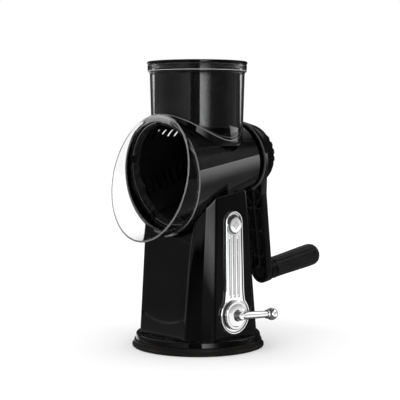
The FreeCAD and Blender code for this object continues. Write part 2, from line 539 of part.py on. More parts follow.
btn = turned("release_button", [(0, -9.0), (5.0, -9.0), (5.0, -4.0), (D["button_rad"], -4.0), (D["button_rad"], 3.2), (D["button_rad"] - 1.2, 4.2), (0, 4.6)], at(bx, 0, D["button_z"].v, ALONG_X))
node(btn, "release_button")
latch = box("latch_slider", 12.0, 7.0, 5.0, at(bx - 9.0 - 12.0, -3.5, 126.5))
node(latch, "latch_slider")
spring = turned("spring_blank", [(6.0, -10.5), (7.4, -10.5), (7.4, -4.2), (6.0, -4.2)], at(bx, 0, D["button_z"].v, ALONG_X))
node(spring, "button_spring")
guide = turned("button_guide", [(5.3, -13.5), (9.6, -13.5), (9.6, -2.95), (D["button_rad"] + 0.3, -2.95), (D["button_rad"] + 0.3, -10.6), (5.3, -10.6)], at(bx, 0, D["button_z"].v, ALONG_X))
node(guide, "button_guide")

doc.recompute()

# ------------------------------------------------------------------ checks and export
bad = []
for o in doc.Objects:
    if "Invalid" in o.State or "Error" in o.State:
        bad.append((o.Name, o.State))
for o in NODES:
    sh = o.Shape
    if sh.isNull() or not sh.isValid() or sh.Volume <= 0:
        bad.append((o.Label, "shape"))
if bad:
    raise RuntimeError("failed objects: %s" % bad)
os.makedirs("parts", exist_ok=True)
for o in NODES:
    o.Shape.exportStep(os.path.join("parts", o.Label + ".step"))
    b = o.Shape.BoundBox
    print("%-18s solids %2d  vol %9.0f  x %.1f..%.1f y %.1f..%.1f z %.1f..%.1f" % (
        o.Label, len(o.Shape.Solids), o.Shape.Volume, b.XMin, b.XMax, b.YMin, b.YMax, b.ZMin, b.ZMax))
print(len(NODES), "nodes")
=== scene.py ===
import bpy, bmesh, math, json
import numpy as np
from mathutils import Matrix, Vector

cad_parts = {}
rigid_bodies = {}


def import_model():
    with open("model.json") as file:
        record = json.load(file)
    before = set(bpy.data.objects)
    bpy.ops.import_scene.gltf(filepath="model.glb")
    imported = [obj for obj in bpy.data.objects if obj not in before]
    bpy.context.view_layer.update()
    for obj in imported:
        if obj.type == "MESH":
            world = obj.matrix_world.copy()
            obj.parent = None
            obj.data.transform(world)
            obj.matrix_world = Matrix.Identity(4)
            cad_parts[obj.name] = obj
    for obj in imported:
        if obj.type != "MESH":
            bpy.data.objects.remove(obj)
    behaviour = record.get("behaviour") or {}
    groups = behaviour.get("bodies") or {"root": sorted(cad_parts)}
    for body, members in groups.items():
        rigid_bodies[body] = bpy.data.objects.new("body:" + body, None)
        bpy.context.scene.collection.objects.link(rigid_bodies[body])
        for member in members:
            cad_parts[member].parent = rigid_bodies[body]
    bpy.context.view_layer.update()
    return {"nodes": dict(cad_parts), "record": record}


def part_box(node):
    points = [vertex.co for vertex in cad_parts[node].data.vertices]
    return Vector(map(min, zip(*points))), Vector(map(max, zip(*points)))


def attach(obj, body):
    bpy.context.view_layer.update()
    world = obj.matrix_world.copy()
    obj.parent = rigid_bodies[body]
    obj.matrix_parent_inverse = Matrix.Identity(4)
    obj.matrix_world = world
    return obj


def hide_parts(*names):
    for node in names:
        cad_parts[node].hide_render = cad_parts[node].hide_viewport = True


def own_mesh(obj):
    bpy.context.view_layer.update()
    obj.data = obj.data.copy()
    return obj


# Rotary cheese grater: looks.  Built in millimetres in the CAD frame, scaled
# to metres when each piece is finished.
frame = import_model()
S = bpy.context.scene

# ---------------------------------------------------------------- frame of the drum axis
DIP = math.radians(8.9)
A0 = np.array([0.0, -0.7, 186.1])
U = np.array([0.0, math.cos(DIP), math.sin(DIP)])
DN = np.array([0.0, math.sin(DIP), -math.cos(DIP)])
EX = np.array([1.0, 0.0, 0.0])
CRANK = 132.3


def frm(o, x, y, z):
    m = np.eye(4)
    m[:3, 0], m[:3, 1], m[:3, 2], m[:3, 3] = x, y, z, o
    return m


def axm(s=0.0, d=0.0):
    return frm(A0 + U * s + DN * d, EX, DN, U)


def up(x=0.0, y=0.0, z=0.0):
    return frm((x, y, z), (1, 0, 0), (0, 1, 0), (0, 0, 1))


def alongx(x, y, z, lean=0.0):
    """Local Z points out of the side face (+X, tipped up by lean), local X down."""
    c, s = math.cos(lean), math.sin(lean)
    return frm((x, y, z), (s, 0, -c), (0, 1, 0), (c, 0, s))


def rb(s): return 59.5 - 0.212 * (s + 50.0)
def rsad(s): return 62.5 - 0.144 * (s + 50.0)
def rdrum(s): return 54.3 - 0.212 * (s + 43.0)
def rtube(z): return 48.03 + 0.0278 * (z - 243.0)


def on_axis(P):
    """Station along the drum axis and distance from it."""
    v = np.asarray(P, float) - A0
    s = v @ U
    return s, np.linalg.norm(v - np.outer(s, U).reshape(v.shape), axis=-1)


# ---------------------------------------------------------------- mesh helpers
def smooth01(t):
    t = np.clip(t, 0.0, 1.0)
    return t * t * (3 - 2 * t)


def rounded(pts, closed=True, step=15.0):
    """Polyline whose corners (x, y, radius) are replaced with arcs."""
    out, n = [], len(pts)
    for i, p in enumerate(pts):
        r = p[2] if len(p) > 2 else 0.0
        if r <= 0 or (not closed and i in (0, n - 1)):
            out.append((p[0], p[1])); continue
        a, b = np.array(pts[i - 1][:2], float), np.array(pts[(i + 1) % n][:2], float)
        c = np.array(p[:2], float)
        u, v = a - c, b - c
        lu, lv = np.linalg.norm(u), np.linalg.norm(v)
        if lu < 1e-9 or lv < 1e-9:
            out.append(tuple(c)); continue
        u, v = u / lu, v / lv
        ang = math.acos(max(-1, min(1, float(u @ v))))
        turn = math.pi - ang
        if turn < math.radians(4):
            out.append(tuple(c)); continue
        t = min(r / math.tan(ang / 2), 0.49 * lu, 0.49 * lv)
        rr = t * math.tan(ang / 2)
        bis = (u + v) / np.linalg.norm(u + v)
        o = c + bis * (rr / math.sin(ang / 2))
        s, e = c + u * t - o, c + v * t - o
        a0 = math.atan2(s[1], s[0]); a1 = math.atan2(e[1], e[0])
        d = (a1 - a0 + math.pi) % (2 * math.pi) - math.pi
        k = max(2, int(math.ceil(abs(math.degrees(d)) / step)))
        for j in range(k + 1):
            q = a0 + d * j / k
            out.append((o[0] + rr * math.cos(q), o[1] + rr * math.sin(q)))
    return out


def raw(name, verts, faces):
    me = bpy.data.meshes.new(name)
    me.from_pydata([tuple(map(float, v)) for v in verts], [], [list(map(int, f)) for f in faces])
    ob = bpy.data.objects.new(name, me)
    S.collection.objects.link(ob)
    bm = bmesh.new(); bm.from_mesh(me)
    bmesh.ops.remove_doubles(bm, verts=bm.verts, dist=1e-4)
    bmesh.ops.dissolve_degenerate(bm, edges=bm.edges, dist=1e-5)
    bmesh.ops.recalc_face_normals(bm, faces=bm.faces)
    bm.to_mesh(me); bm.free()
    return ob


def tf(P, M):
    P = np.asarray(P, float)
    return P @ M[:3, :3].T + M[:3, 3]


def lathe(name, prof, n=160, M=None, phase=0.0):
    """Turned solid from a closed profile of (radius, height)."""
    prof = [(max(0.0, p[0]), p[1]) for p in prof]
    a = phase + 2 * math.pi * np.arange(n) / n
    verts, idx = [], []
    for r, z in prof:
        if r < 1e-7:
            idx.append([len(verts)] * n); verts.append((0, 0, z))
        else:
            idx.append(list(range(len(verts), len(verts) + n)))
            verts += [(r * math.cos(t), r * math.sin(t), z) for t in a]
    faces = []
    for i in range(len(prof)):
        j = (i + 1) % len(prof)
        A, B = idx[i], idx[j]
        if A[0] == A[1] and B[0] == B[1]:
            continue
        for k in range(n):
            l = (k + 1) % n
            f = [A[k], A[l], B[l], B[k]]
            g = [v for m, v in enumerate(f) if v != f[m - 1]]
            if len(g) >= 3:
                faces.append(g)
    if M is not None:
        verts = tf(verts, M)
    return raw(name, verts, faces)


def grid(name, P, close_u=True, close_v=True, cap=False):
    """Surface through P[u, v]; closed in the directions asked for."""
    nu, nv = P.shape[:2]
    verts = P.reshape(-1, 3)
    faces = []
    for i in range(nu if close_u else nu - 1):
        for j in range(nv if close_v else nv - 1):
            a, b = (i + 1) % nu, (j + 1) % nv
            faces.append([i * nv + j, a * nv + j, a * nv + b, i * nv + b])
    if cap:
        faces.append([i * nv for i in range(nu)])
        faces.append([i * nv + nv - 1 for i in range(nu)][::-1])
    return raw(name, verts, faces)


def inset(loop, d):
    """Closed outline moved inwards by d (counter-clockwise outline)."""
    L = np.asarray(loop, float)
    e0 = L - np.roll(L, 1, 0); e1 = np.roll(L, -1, 0) - L
    n0 = np.stack([-e0[:, 1], e0[:, 0]], 1); n1 = np.stack([-e1[:, 1], e1[:, 0]], 1)
    n0 /= np.maximum(np.linalg.norm(n0, axis=1, keepdims=True), 1e-9)
    n1 /= np.maximum(np.linalg.norm(n1, axis=1, keepdims=True), 1e-9)
    m = n0 + n1
    m /= np.maximum(np.linalg.norm(m, axis=1, keepdims=True), 1e-9)
    return L + m * (d / np.maximum((m * n0).sum(1, keepdims=True), 0.5))


def loft(name, loops, M=None):
    """Solid through outlines given as (2-D loop, height); the ends are capped."""
    P = np.array([[(x, y, z) for x, y in L] for L, z in loops], float)   # [v, u]
    P = np.transpose(P, (1, 0, 2))
    if M is not None:
        P = tf(P.reshape(-1, 3), M).reshape(P.shape)
    return grid(name, P, True, False, cap=True)


def slab(name, loop, z0, z1, r=0.4, M=None, steps=4):
    """Outline padded from z0 to z1 with rounded edges."""
    L = []
    for k in range(steps + 1):
        t = math.pi / 2 * k / steps
        L.append((inset(loop, r * (1 - math.sin(t))), z0 + r * (1 - math.cos(t))))
    for k in range(steps + 1):
        t = math.pi / 2 * (1 - k / steps)
        L.append((inset(loop, r * (1 - math.sin(t))), z1 - r * (1 - math.cos(t))))
    return loft(name, L, M)


def circle(r, n=96, cx=0.0, cy=0.0):
    return [(cx + r * math.cos(2 * math.pi * k / n), cy + r * math.sin(2 * math.pi * k / n)) for k in range(n)]


def rod(name, r, z0, z1, M, n=96):
    return loft(name, [(circle(r, n), z0), (circle(r, n), z1)], M)


def block(name, lo, hi, M=None):
    (x0, y0, z0), (x1, y1, z1) = lo, hi
    return loft(name, [([(x0, y0), (x1, y0), (x1, y1), (x0, y1)], z0), ([(x0, y0), (x1, y0), (x1, y1), (x0, y1)], z1)], M)


def boolean(a, b, op="DIFFERENCE"):
    m = a.modifiers.new("b", "BOOLEAN")
    m.operation, m.solver, m.object = op, "EXACT", b
    dg = bpy.context.evaluated_depsgraph_get()
    me = bpy.data.meshes.new_from_object(a.evaluated_get(dg))
    a.modifiers.clear()
    old = a.data
    a.data = me
    bpy.data.meshes.remove(old)
    me2 = b.data
    bpy.data.objects.remove(b)
    bpy.data.meshes.remove(me2)
    return a


def join(a, *others):
    """One object out of several separate closed solids."""
    bm = bmesh.new(); bm.from_mesh(a.data)
    for o in others:
        bm.from_mesh(o.data)
    bm.to_mesh(a.data); bm.free()
    for o in others:
        me = o.data; bpy.data.objects.remove(o); bpy.data.meshes.remove(me)
    return a


REPORT = []


def piece(ob, name, body, mat, replaces=(), angle=32.0, bevel=0.0, bevel_angle=35.0):
    me = ob.data
    bm = bmesh.new(); bm.from_mesh(me)
    bmesh.ops.remove_doubles(bm, verts=bm.verts, dist=2e-4)
    bmesh.ops.dissolve_degenerate(bm, edges=bm.edges, dist=1e-4)
    bmesh.ops.recalc_face_normals(bm, faces=bm.faces)
    bad = sum(1 for e in bm.edges if len(e.link_faces) != 2)
    bm.to_mesh(me); bm.free()
    ob.name = name; me.name = name
    if bevel > 0:
        m = ob.modifiers.new("edge", "BEVEL")
        m.limit_method, m.angle_limit = "ANGLE", math.radians(bevel_angle)
        m.width, m.segments, m.use_clamp_overlap = bevel, 2, True
        m.miter_outer = "MITER_ARC"
        dg = bpy.context.evaluated_depsgraph_get()
        nm = bpy.data.meshes.new_from_object(ob.evaluated_get(dg))
        ob.modifiers.clear(); ob.data = nm; nm.name = name; me = nm
    me.transform(Matrix.Scale(0.001, 4))
    me.materials.clear(); me.materials.append(mat)
    for p in me.polygons:
        p.use_smooth = True; p.material_index = 0
    me.set_sharp_from_angle(angle=math.radians(angle))
    me.update()
    REPORT.append((name, len(me.polygons), bad))
    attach(ob, body)
    if replaces:
        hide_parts(*replaces)
    return ob


# ---------------------------------------------------------------- materials
def new_mat(name):
    m = bpy.data.materials.new(name)
    m.use_nodes = True
    nt = m.node_tree
    return m, nt, nt.nodes["Principled BSDF"]


def noise(nt, coord, scale, detail=3.0, rough=0.5, stretch=None):
    src = coord
    if stretch is not None:
        mp = nt.nodes.new("ShaderNodeMapping")
        mp.inputs["Scale"].default_value = stretch
        nt.links.new(coord, mp.inputs["Vector"])
        src = mp.outputs["Vector"]
    n = nt.nodes.new("ShaderNodeTexNoise")
    n.inputs["Scale"].default_value = scale
    n.inputs["Detail"].default_value = detail
    n.inputs["Roughness"].default_value = rough
    nt.links.new(src, n.inputs["Vector"])
    return n.outputs["Fac"]


def mrange(nt, fac, a, b, c, d):
    n = nt.nodes.new("ShaderNodeMapRange")
    for k, v in zip(("From Min", "From Max", "To Min", "To Max"), (a, b, c, d)):
        n.inputs[k].default_value = v
    nt.links.new(fac, n.inputs["Value"])
    return n.outputs["Result"]


def mixc(nt, fac, c0, c1):
    n = nt.nodes.new("ShaderNodeMix")
    n.data_type = "RGBA"
    for sock, c in (("A", c0), ("B", c1)):
        s = [i for i in n.inputs if i.name == sock and i.type == "RGBA"][0]
        if isinstance(c, (tuple, list)):
            s.default_value = (*c[:3], 1.0)
        else:
            nt.links.new(c, s)
    nt.links.new(fac, n.inputs["Factor"])
    return [o for o in n.outputs if o.type == "RGBA"][0]


def bump(nt, height, strength, dist, prev=None):
    b = nt.nodes.new("ShaderNodeBump")
    b.inputs["Strength"].default_value = strength
    b.inputs["Distance"].default_value = dist
    nt.links.new(height, b.inputs["Height"])
    if prev is not None:
        nt.links.new(prev, b.inputs["Normal"])
    return b.outputs["Normal"]


def object_coord(nt):
    return nt.nodes.new("ShaderNodeTexCoord").outputs["Object"]


def wear(nt, lo=0.515, hi=0.56):
    g = nt.nodes.new("ShaderNodeNewGeometry")
    return mrange(nt, g.outputs["Pointiness"], lo, hi, 0.0, 1.0)


def plastic(name, dark, light, r0, r1, coat=0.0, grain=1800.0, grain_s=0.05, wave=0.0, edge=None, spec=0.5, sheen=0.0):
    """Moulded plastic: cloudy colour, uneven gloss, moulded grain, paler worn edges."""
    m, nt, p = new_mat(name)
    co = object_coord(nt)
    cloud = mrange(nt, noise(nt, co, 28.0, 4.0), 0.35, 0.65, 0.0, 1.0)
    col = mixc(nt, cloud, dark, light)
    if edge is not None:
        e = wear(nt)
        mul = nt.nodes.new("ShaderNodeMath"); mul.operation = "MULTIPLY"
        nt.links.new(e, mul.inputs[0]); nt.links.new(noise(nt, co, 160.0, 3.0), mul.inputs[1])
        col = mixc(nt, mul.outputs[0], col, edge)
    nt.links.new(col, p.inputs["Base Color"])
    nt.links.new(mrange(nt, noise(nt, co, 75.0, 5.0, 0.6), 0.3, 0.7, r0, r1), p.inputs["Roughness"])
    n = bump(nt, noise(nt, co, grain, 2.0), grain_s, 0.0001)
    if wave > 0:
        n = bump(nt, noise(nt, co, 55.0, 1.0), wave, 0.0012, n)
    nt.links.new(n, p.inputs["Normal"])
    p.inputs["Specular IOR Level"].default_value = spec
    p.inputs["Coat Weight"].default_value = coat
    p.inputs["Coat Roughness"].default_value = 0.015
    if sheen:
        p.inputs["Sheen Weight"].default_value = sheen
    return m


def metal(name, c0, c1, r0, r1, brushed=None, scratch=0.02, metallic=1.0):
    m, nt, p = new_mat(name)
    co = object_coord(nt)
    p.inputs["Metallic"].default_value = metallic
    nt.links.new(mixc(nt, mrange(nt, noise(nt, co, 40.0, 4.0), 0.3, 0.7, 0, 1), c0, c1), p.inputs["Base Color"])
    if brushed is None:
        nt.links.new(mrange(nt, noise(nt, co, 120.0, 5.0), 0.3, 0.7, r0, r1), p.inputs["Roughness"])
        nt.links.new(bump(nt, noise(nt, co, 900.0, 2.0), scratch, 0.0001), p.inputs["Normal"])
    else:
        f = noise(nt, co, 700.0, 3.0, 0.6, brushed)
        nt.links.new(mrange(nt, f, 0.3, 0.7, r0, r1), p.inputs["Roughness"])
        nt.links.new(bump(nt, f, scratch, 0.0001), p.inputs["Normal"])
    return m


def clear_plastic(name):
    m, nt, p = new_mat(name)
    co = object_coord(nt)
    p.inputs["Transmission Weight"].default_value = 1.0
    p.inputs["IOR"].default_value = 1.38
    nt.links.new(mixc(nt, noise(nt, co, 20.0, 2.0), (0.985, 0.99, 0.992), (1.0, 1.0, 1.0)), p.inputs["Base Color"])
    nt.links.new(mrange(nt, noise(nt, co, 60.0, 4.0), 0.35, 0.75, 0.0, 0.02), p.inputs["Roughness"])
    nt.links.new(bump(nt, noise(nt, co, 30.0, 1.0), 0.02, 0.0006), p.inputs["Normal"])
    return m


def painted_clear_highlight_mat(name, through=0.78):
    """Painted edge highlight for the clear mouldings: a greyer, less clear finish given to cut and rounded edges."""
    m, nt, p = new_mat(name)
    co = object_coord(nt)
    p.inputs["Transmission Weight"].default_value = through
    p.inputs["IOR"].default_value = 1.49
    nt.links.new(mixc(nt, noise(nt, co, 60.0, 3.0), (0.62, 0.63, 0.635), (0.86, 0.87, 0.87)), p.inputs["Base Color"])
    nt.links.new(mrange(nt, noise(nt, co, 90.0, 3.0), 0.3, 0.7, 0.02, 0.10), p.inputs["Roughness"])
    nt.links.new(bump(nt, noise(nt, co, 400.0, 2.0), 0.03, 0.0002), p.inputs["Normal"])
    return m


def second_material(ob, mat, test):
    """Gives the faces whose centre (in millimetres) passes the test another finish."""
    me = ob.data
    me.materials.append(mat)
    for q in me.polygons:
        c = np.array(q.center) * 1000.0
        if test(c):
            q.material_index = len(me.materials) - 1


MAT = {
    # painted highlight finish: greyer and less clear than the clear plastic, for edges of the clear parts
    "clear_edge_highlight": painted_clear_highlight_mat("clear_edge_highlight"),
    # painted highlight finish: a greyer, half-clear version for the foot and lip of the hopper tube
    "clear_foot_highlight": painted_clear_highlight_mat("clear_foot_highlight", 0.45),
    # painted highlight finish: a paler grey plastic for the crank bowl's front rim
    "painted_bowl_rim_highlight": plastic("painted_bowl_rim_highlight", (0.07, 0.07, 0.072), (0.11, 0.11, 0.112), 0.10, 0.22, grain=600.0, grain_s=0.02),
    # painted light: a dark grey finish, used as a highlight line on the black column's recess lip and as a shade line
    # on the chrome trim
    "painted_lip_highlight_trim_shade": plastic("painted_lip_highlight_trim_shade", (0.018, 0.018, 0.019), (0.026, 0.026, 0.027), 0.08, 0.16, grain=600.0, grain_s=0.02),
    "gloss_black": plastic("gloss_black", (0.0010, 0.0010, 0.0011), (0.0018, 0.0018, 0.0019), 0.012, 0.035, coat=0.12, grain=700.0, grain_s=0.006, edge=(0.03, 0.03, 0.032)),
    "satin_black": plastic("satin_black", (0.0012, 0.0012, 0.0013), (0.0025, 0.0025, 0.0027), 0.22, 0.34, grain=2600.0, grain_s=0.10, edge=(0.035, 0.035, 0.037)),
    "grip_black": plastic("grip_black", (0.003, 0.003, 0.0032), (0.0055, 0.0055, 0.0058), 0.42, 0.58, grain=3200.0, grain_s=0.20, edge=(0.03, 0.03, 0.03), sheen=0.05),
    "clear": clear_plastic("clear"),
    "chrome": metal("chrome", (0.90, 0.90, 0.91), (0.95, 0.95, 0.955), 0.02, 0.05, scratch=0.004, metallic=0.97),
    "chrome_satin": metal("chrome_satin", (0.86, 0.86, 0.87), (0.93, 0.93, 0.935), 0.05, 0.11, scratch=0.006, metallic=0.95),
    "steel": metal("steel", (0.52, 0.52, 0.53), (0.64, 0.64, 0.65), 0.22, 0.34, brushed=(6.0, 0.4, 6.0), scratch=0.05),
    "blade_steel": metal("blade_steel", (0.78, 0.78, 0.79), (0.88, 0.88, 0.89), 0.10, 0.22, brushed=(0.5, 5.0, 5.0), scratch=0.04, metallic=0.9),
    "white_plastic": plastic("white_plastic", (0.70, 0.70, 0.68), (0.80, 0.80, 0.78), 0.35, 0.45, grain=2200.0, grain_s=0.08, edge=(0.9, 0.9, 0.88)),
    "rubber_skirt": plastic("rubber_skirt", (0.0055, 0.0047, 0.0038), (0.0095, 0.008, 0.0065), 0.40, 0.56, grain=2600.0, grain_s=0.14, edge=(0.045, 0.04, 0.034), spec=0.4),
    # painted highlight finish: a mid grey plastic for the edge of the drum's front ring
    "painted_drum_ring_highlight": plastic("painted_drum_ring_highlight", (0.30, 0.30, 0.31), (0.42, 0.42, 0.43), 0.22, 0.35, grain=500.0, grain_s=0.02),
    "rubber_membrane": plastic("rubber_membrane", (0.035, 0.035, 0.037), (0.055, 0.055, 0.058), 0.5, 0.62, grain=2000.0, grain_s=0.15, edge=(0.09, 0.09, 0.09)),
}

# carried-over CAD nodes take the finish of their slot
SLOT_OF = {}
for m in frame["record"]["materials"]:
    for n in (m.get("nodes") or m.get("node_names") or []):
        SLOT_OF[n] = m["slot"]
FALLBACK = {
    "barrel_foot": "satin_black", "shaft_bush": "white_plastic", "thrust_washer": "steel", "drive_shaft": "steel", "grip_pin": "satin_black",
    "base_screws": "steel", "suction_frame": "satin_black", "cam_shaft": "steel", "latch_slider": "satin_black", "button_guide": "satin_black",
    "button_spring": "steel", "suction_stem": "white_plastic"}
for n, ob in frame["nodes"].items():
    s = FALLBACK.get(n) or SLOT_OF.get(n) or "satin_black"
    for ms in ob.material_slots:
        ms.material = MAT[s]
    if not ob.material_slots:
        ob.data.materials.append(MAT[s])

# ---------------------------------------------------------------- column (base_housing)
LOW = ((35.0, 46.0, 55.0), (-50.0, -38.0, -27.0), (51.5, 39.5, 28.5))
MID = ((37.0, 47.0, 53.0), (-40.6, -32.8, -23.6), (37.5, 28.5, 22.5))
TOP = ((38.0, 47.4, 52.0), (-36.4, -30.5, -22.1), (29.5, 22.0, 18.5))


def corners(z, w):
    def sec(k, yf, yb):
        a, b, c = k
        return np.array([(-a + w * .4, yf[0] + w), (a - w * .4, yf[0] + w), (b - w * .8, yf[1] + w * .7), (c - w, yf[2] + w * .4),
                         (c - w, yb[2] - w * .4), (b - w * .8, yb[1] - w * .7), (a - w * .4, yb[0] - w), (-a + w * .4, yb[0] - w),
                         (-b + w * .8, yb[1] - w * .7), (-c + w, yb[2] - w * .4), (-c + w, yf[2] + w * .4), (-b + w * .8, yf[1] + w * .7)])
    if z <= 125.0:
        t = (z - 13.6) / (125.0 - 13.6); A, B = sec(*LOW), sec(*MID)
    else:
        t = (z - 125.0) / 47.0; A, B = sec(*MID), sec(*TOP)
    C = A + (B - A) * t
    k = 0.5 * max(0.0, min(1.0, (z - 100.0) / 50.0)) ** 1.8
    for i, j in ((1, 2), (0, 11)):
        C[i] = C[i] + (C[j] - C[i]) * k
    return C


RADII = [2.0, 2.0, 3.0, 4.5, 4.5, 3.0, 3.0, 3.0, 3.0, 4.5, 4.5, 3.0]
NARC = 5
EDGE_N = [0, 4, 4, 20, 4, 4, 26, 4, 4, 20, 4, 4]      # inner points on edge i (corner i to i+1); edge 0 is the front panel
FRONT = 26


def perimeter(z, w=0.0):
    """Outline at height z: points, inward normals and, on the front panel, distance from its ends."""
    C = corners(z, w); n = 12
    pts, nor, dist = [], [], []
    arcs = []
    for i in range(n):
        a, b, c = C[i - 1], C[(i + 1) % n], C[i]
        u, v = (a - c) / np.linalg.norm(a - c), (b - c) / np.linalg.norm(b - c)
        ang = math.acos(max(-1, min(1, float(u @ v))))
        r = max(0.4, RADII[i] - w)
        t = r / math.tan(ang / 2)
        bis = (u + v) / np.linalg.norm(u + v)
        o = c + bis * (r / math.sin(ang / 2))
        s, e = c + u * t - o, c + v * t - o
        a0 = math.atan2(s[1], s[0]); d = (math.atan2(e[1], e[0]) - a0 + math.pi) % (2 * math.pi) - math.pi
        arcs.append([o + r * np.array([math.cos(a0 + d * k / NARC), math.sin(a0 + d * k / NARC)]) for k in range(NARC + 1)])
    for i in range(n):
        for k, p in enumerate(arcs[i]):
            pts.append(p); dist.append(-1.0)
        p, q = arcs[i][-1], arcs[(i + 1) % n][0]
        L = np.linalg.norm(q - p)
        if i == 0:
            m0, m1 = 0.9, 3.4
            pos = [m0, m1] + list(np.linspace(m1, L - m1, FRONT + 2)[1:-1]) + [L - m1, L - m0]
            for d_ in pos:
                pts.append(p + (q - p) * d_ / L); dist.append(min(d_, L - d_))
        else:
            for k in range(1, EDGE_N[i] + 1):
                pts.append(p + (q - p) * k / (EDGE_N[i] + 1)); dist.append(-1.0)
    P = np.array(pts)
    e = np.roll(P, -1, 0) - np.roll(P, 1, 0)
    N = np.stack([-e[:, 1], e[:, 0]], 1)
    N /= np.maximum(np.linalg.norm(N, axis=1, keepdims=True), 1e-9)
    return P, N, np.array(dist)


def column_top(w):
    """Height at which each perimeter line meets the clearance round the barrel."""
    n = len(perimeter(60.0, w)[0])
    lo, hi = np.full(n, 100.0), np.full(n, 172.0)
    for _ in range(26):
        mid = (lo + hi) / 2
        out = np.zeros(n, bool)
        for i in range(n):
            P = PZ(mid[i], w, i)
            s, r = on_axis(P[None])
            out[i] = r[0] > max(57.9, rb(s[0]) + 0.45)
        lo = np.where(out, mid, lo); hi = np.where(out, hi, mid)
    return (lo + hi) / 2


_cache = {}


def PZ(z, w, i):
    key = (round(float(z), 2), w)
    if key not in _cache:
        _cache[key] = perimeter(key[0], w)
    P, N, D = _cache[key]
    return np.array([P[i][0], P[i][1], z])


def column_mesh():
    n = len(perimeter(60.0, 0.0)[0])
    ztop_o, ztop_i = column_top(0.0), column_top(2.6)
    # the arched lower edge of the recessed front panel
    x60, _, d60 = perimeter(30.0, 0.0)
    xs = x60[:, 0]
    zb = np.where(d60 >= 0, 27.0 + 8.0 * (xs / 35.0) ** 2, 30.0)
    rows_o = []
    lowz = [(13.6, 0.9), (13.75, 0.4), (14.2, 0.05), (15.2, 0.0), (18.5, 0.0), (22.5, 0.0)]
    cols = []
    for i in range(n):
        col = []
        zt = ztop_o[i]
        zz = [(z, q) for z, q in lowz] + [(zb[i] - 0.5, 0.0), (zb[i], 0.0), (zb[i] + 2.5, 0.0), (zb[i] + 3.2, 0.0)]
        for k in range(1, 40):
            zz.append((zb[i] + 3.2 + (zt - 1.0 - zb[i] - 3.2) * k / 40.0, 0.0))
        zz += [(zt - 1.0, 0.0), (zt - 0.35, 0.12), (zt - 0.05, 0.45), (zt, 0.9)]
        for m, (z, q) in enumerate(zz):
            key = (round(float(z), 2), 0.0)
            if key not in _cache:
                _cache[key] = perimeter(key[0], 0.0)
            P, N, D = _cache[key]
            rec = 0.0
            if D[i] >= 0:
                fx = np.clip((D[i] - 0.9) / 2.5, 0, 1)
                fz = np.clip((z - zb[i]) / 2.5, 0, 1)
                rec = 1.5 * min(fx, fz)
            p = P[i] + N[i] * (q + rec)
            col.append((p[0], p[1], z))
        zi = ztop_i[i]
        inner = [(zi, 0.5), (zi - 0.4, 0.1), (zi - 1.2, 0.0)] + [(zi - 1.2 - (zi - 1.2 - 14.6) * k / 22.0, 0.0) for k in range(1, 22)] + [(14.6, 0.0), (13.8, 0.1), (13.6, 0.5)]
        for z, q in inner:
            key = (round(float(z), 2), 2.6)
            if key not in _cache:
                _cache[key] = perimeter(key[0], 2.6)
            P, N, D = _cache[key]
            p = P[i] - N[i] * 0.0 + (-N[i]) * q
            col.append((p[0], p[1], z))
        cols.append(col)
    return grid("col", np.array(cols), True, True)


col = column_mesh()
boolean(col, rod("h", 8.5, -16, 10, alongx(52.9, 0, 129.0)))
boolean(col, rod("h", 4.06, -16, 10, alongx(54.5, 0, 37.6)))
col = piece(col, "base_housing_shell", "base", MAT["gloss_black"], ["base_housing"], angle=28)


def recess_lip(c):
    """The right-hand lip of the recessed front panel, which gets a painted highlight line."""
    if c[0] < 20.0 or not 30.0 < c[2] < 168.0:
        return False
    P, N, D_ = perimeter(round(float(c[2]), 1), 0.0)
    F_ = P[D_ >= 0]
    xr, yf = F_[:, 0].max(), F_[:, 1].min()
    return xr - 3.1 < c[0] < xr + 1.2 and c[1] < yf + 2.2


# painted highlight: a dark grey line, lighter than the gloss black, along the recess lip
second_material(col, MAT["painted_lip_highlight_trim_shade"], recess_lip)
posts = []
for a in (45, 135, 225, 315):
    px, py = 50.0 * math.cos(math.radians(a)), 50.0 * math.sin(math.radians(a))

# ---------------------------------------------------------------- base ring and suction foot
ring = [(56.4, 7.42), (65.7, 7.42, 0.5), (65.3, 10.4, 1.5), (64.9, 12.6, 0.8), (63.9, 13.5, 0.5), (46.0, 13.5), (46.0, 11.0), (56.4, 11.0)]
piece(lathe("r", rounded(ring), 192), "base_ring_moulding", "base", MAT["gloss_black"], ["base_ring"])
skirt = [(50.4, 0.0), (68.6, 0.0, 0.4), (69.2, 0.7, 0.6), (69.15, 1.9, 0.7), (67.9, 2.9, 0.8), (67.0, 4.3, 0.8), (66.8, 5.4, 0.5), (66.9, 6.6, 0.4), (66.4, 7.4, 0.4), (50.4, 7.4)]
piece(lathe("s", rounded(skirt), 192), "suction_skirt_rubber", "base", MAT["rubber_skirt"], ["suction_skirt"])
mem = [(0, 0.45), (7, 0.45, 0.3), (8, 0.9, 0.3), (9, 0.45, 0.3), (19, 0.35, 0.3), (20, 0.8, 0.3), (21, 0.35, 0.3), (33, 0.25, 0.3), (34, 0.7, 0.3), (35, 0.25, 0.3), (46.6, 0.0, 0.4), (49.6, 0.0, 0.3), (49.6, 2.4, 0.4),
       (20.5, 3.4, 1.0), (20, 5.0, 0.3), (0, 5.0)]
piece(lathe("m", rounded(mem), 160), "suction_membrane_rubber", "suction", MAT["rubber_membrane"], ["suction_membrane"])

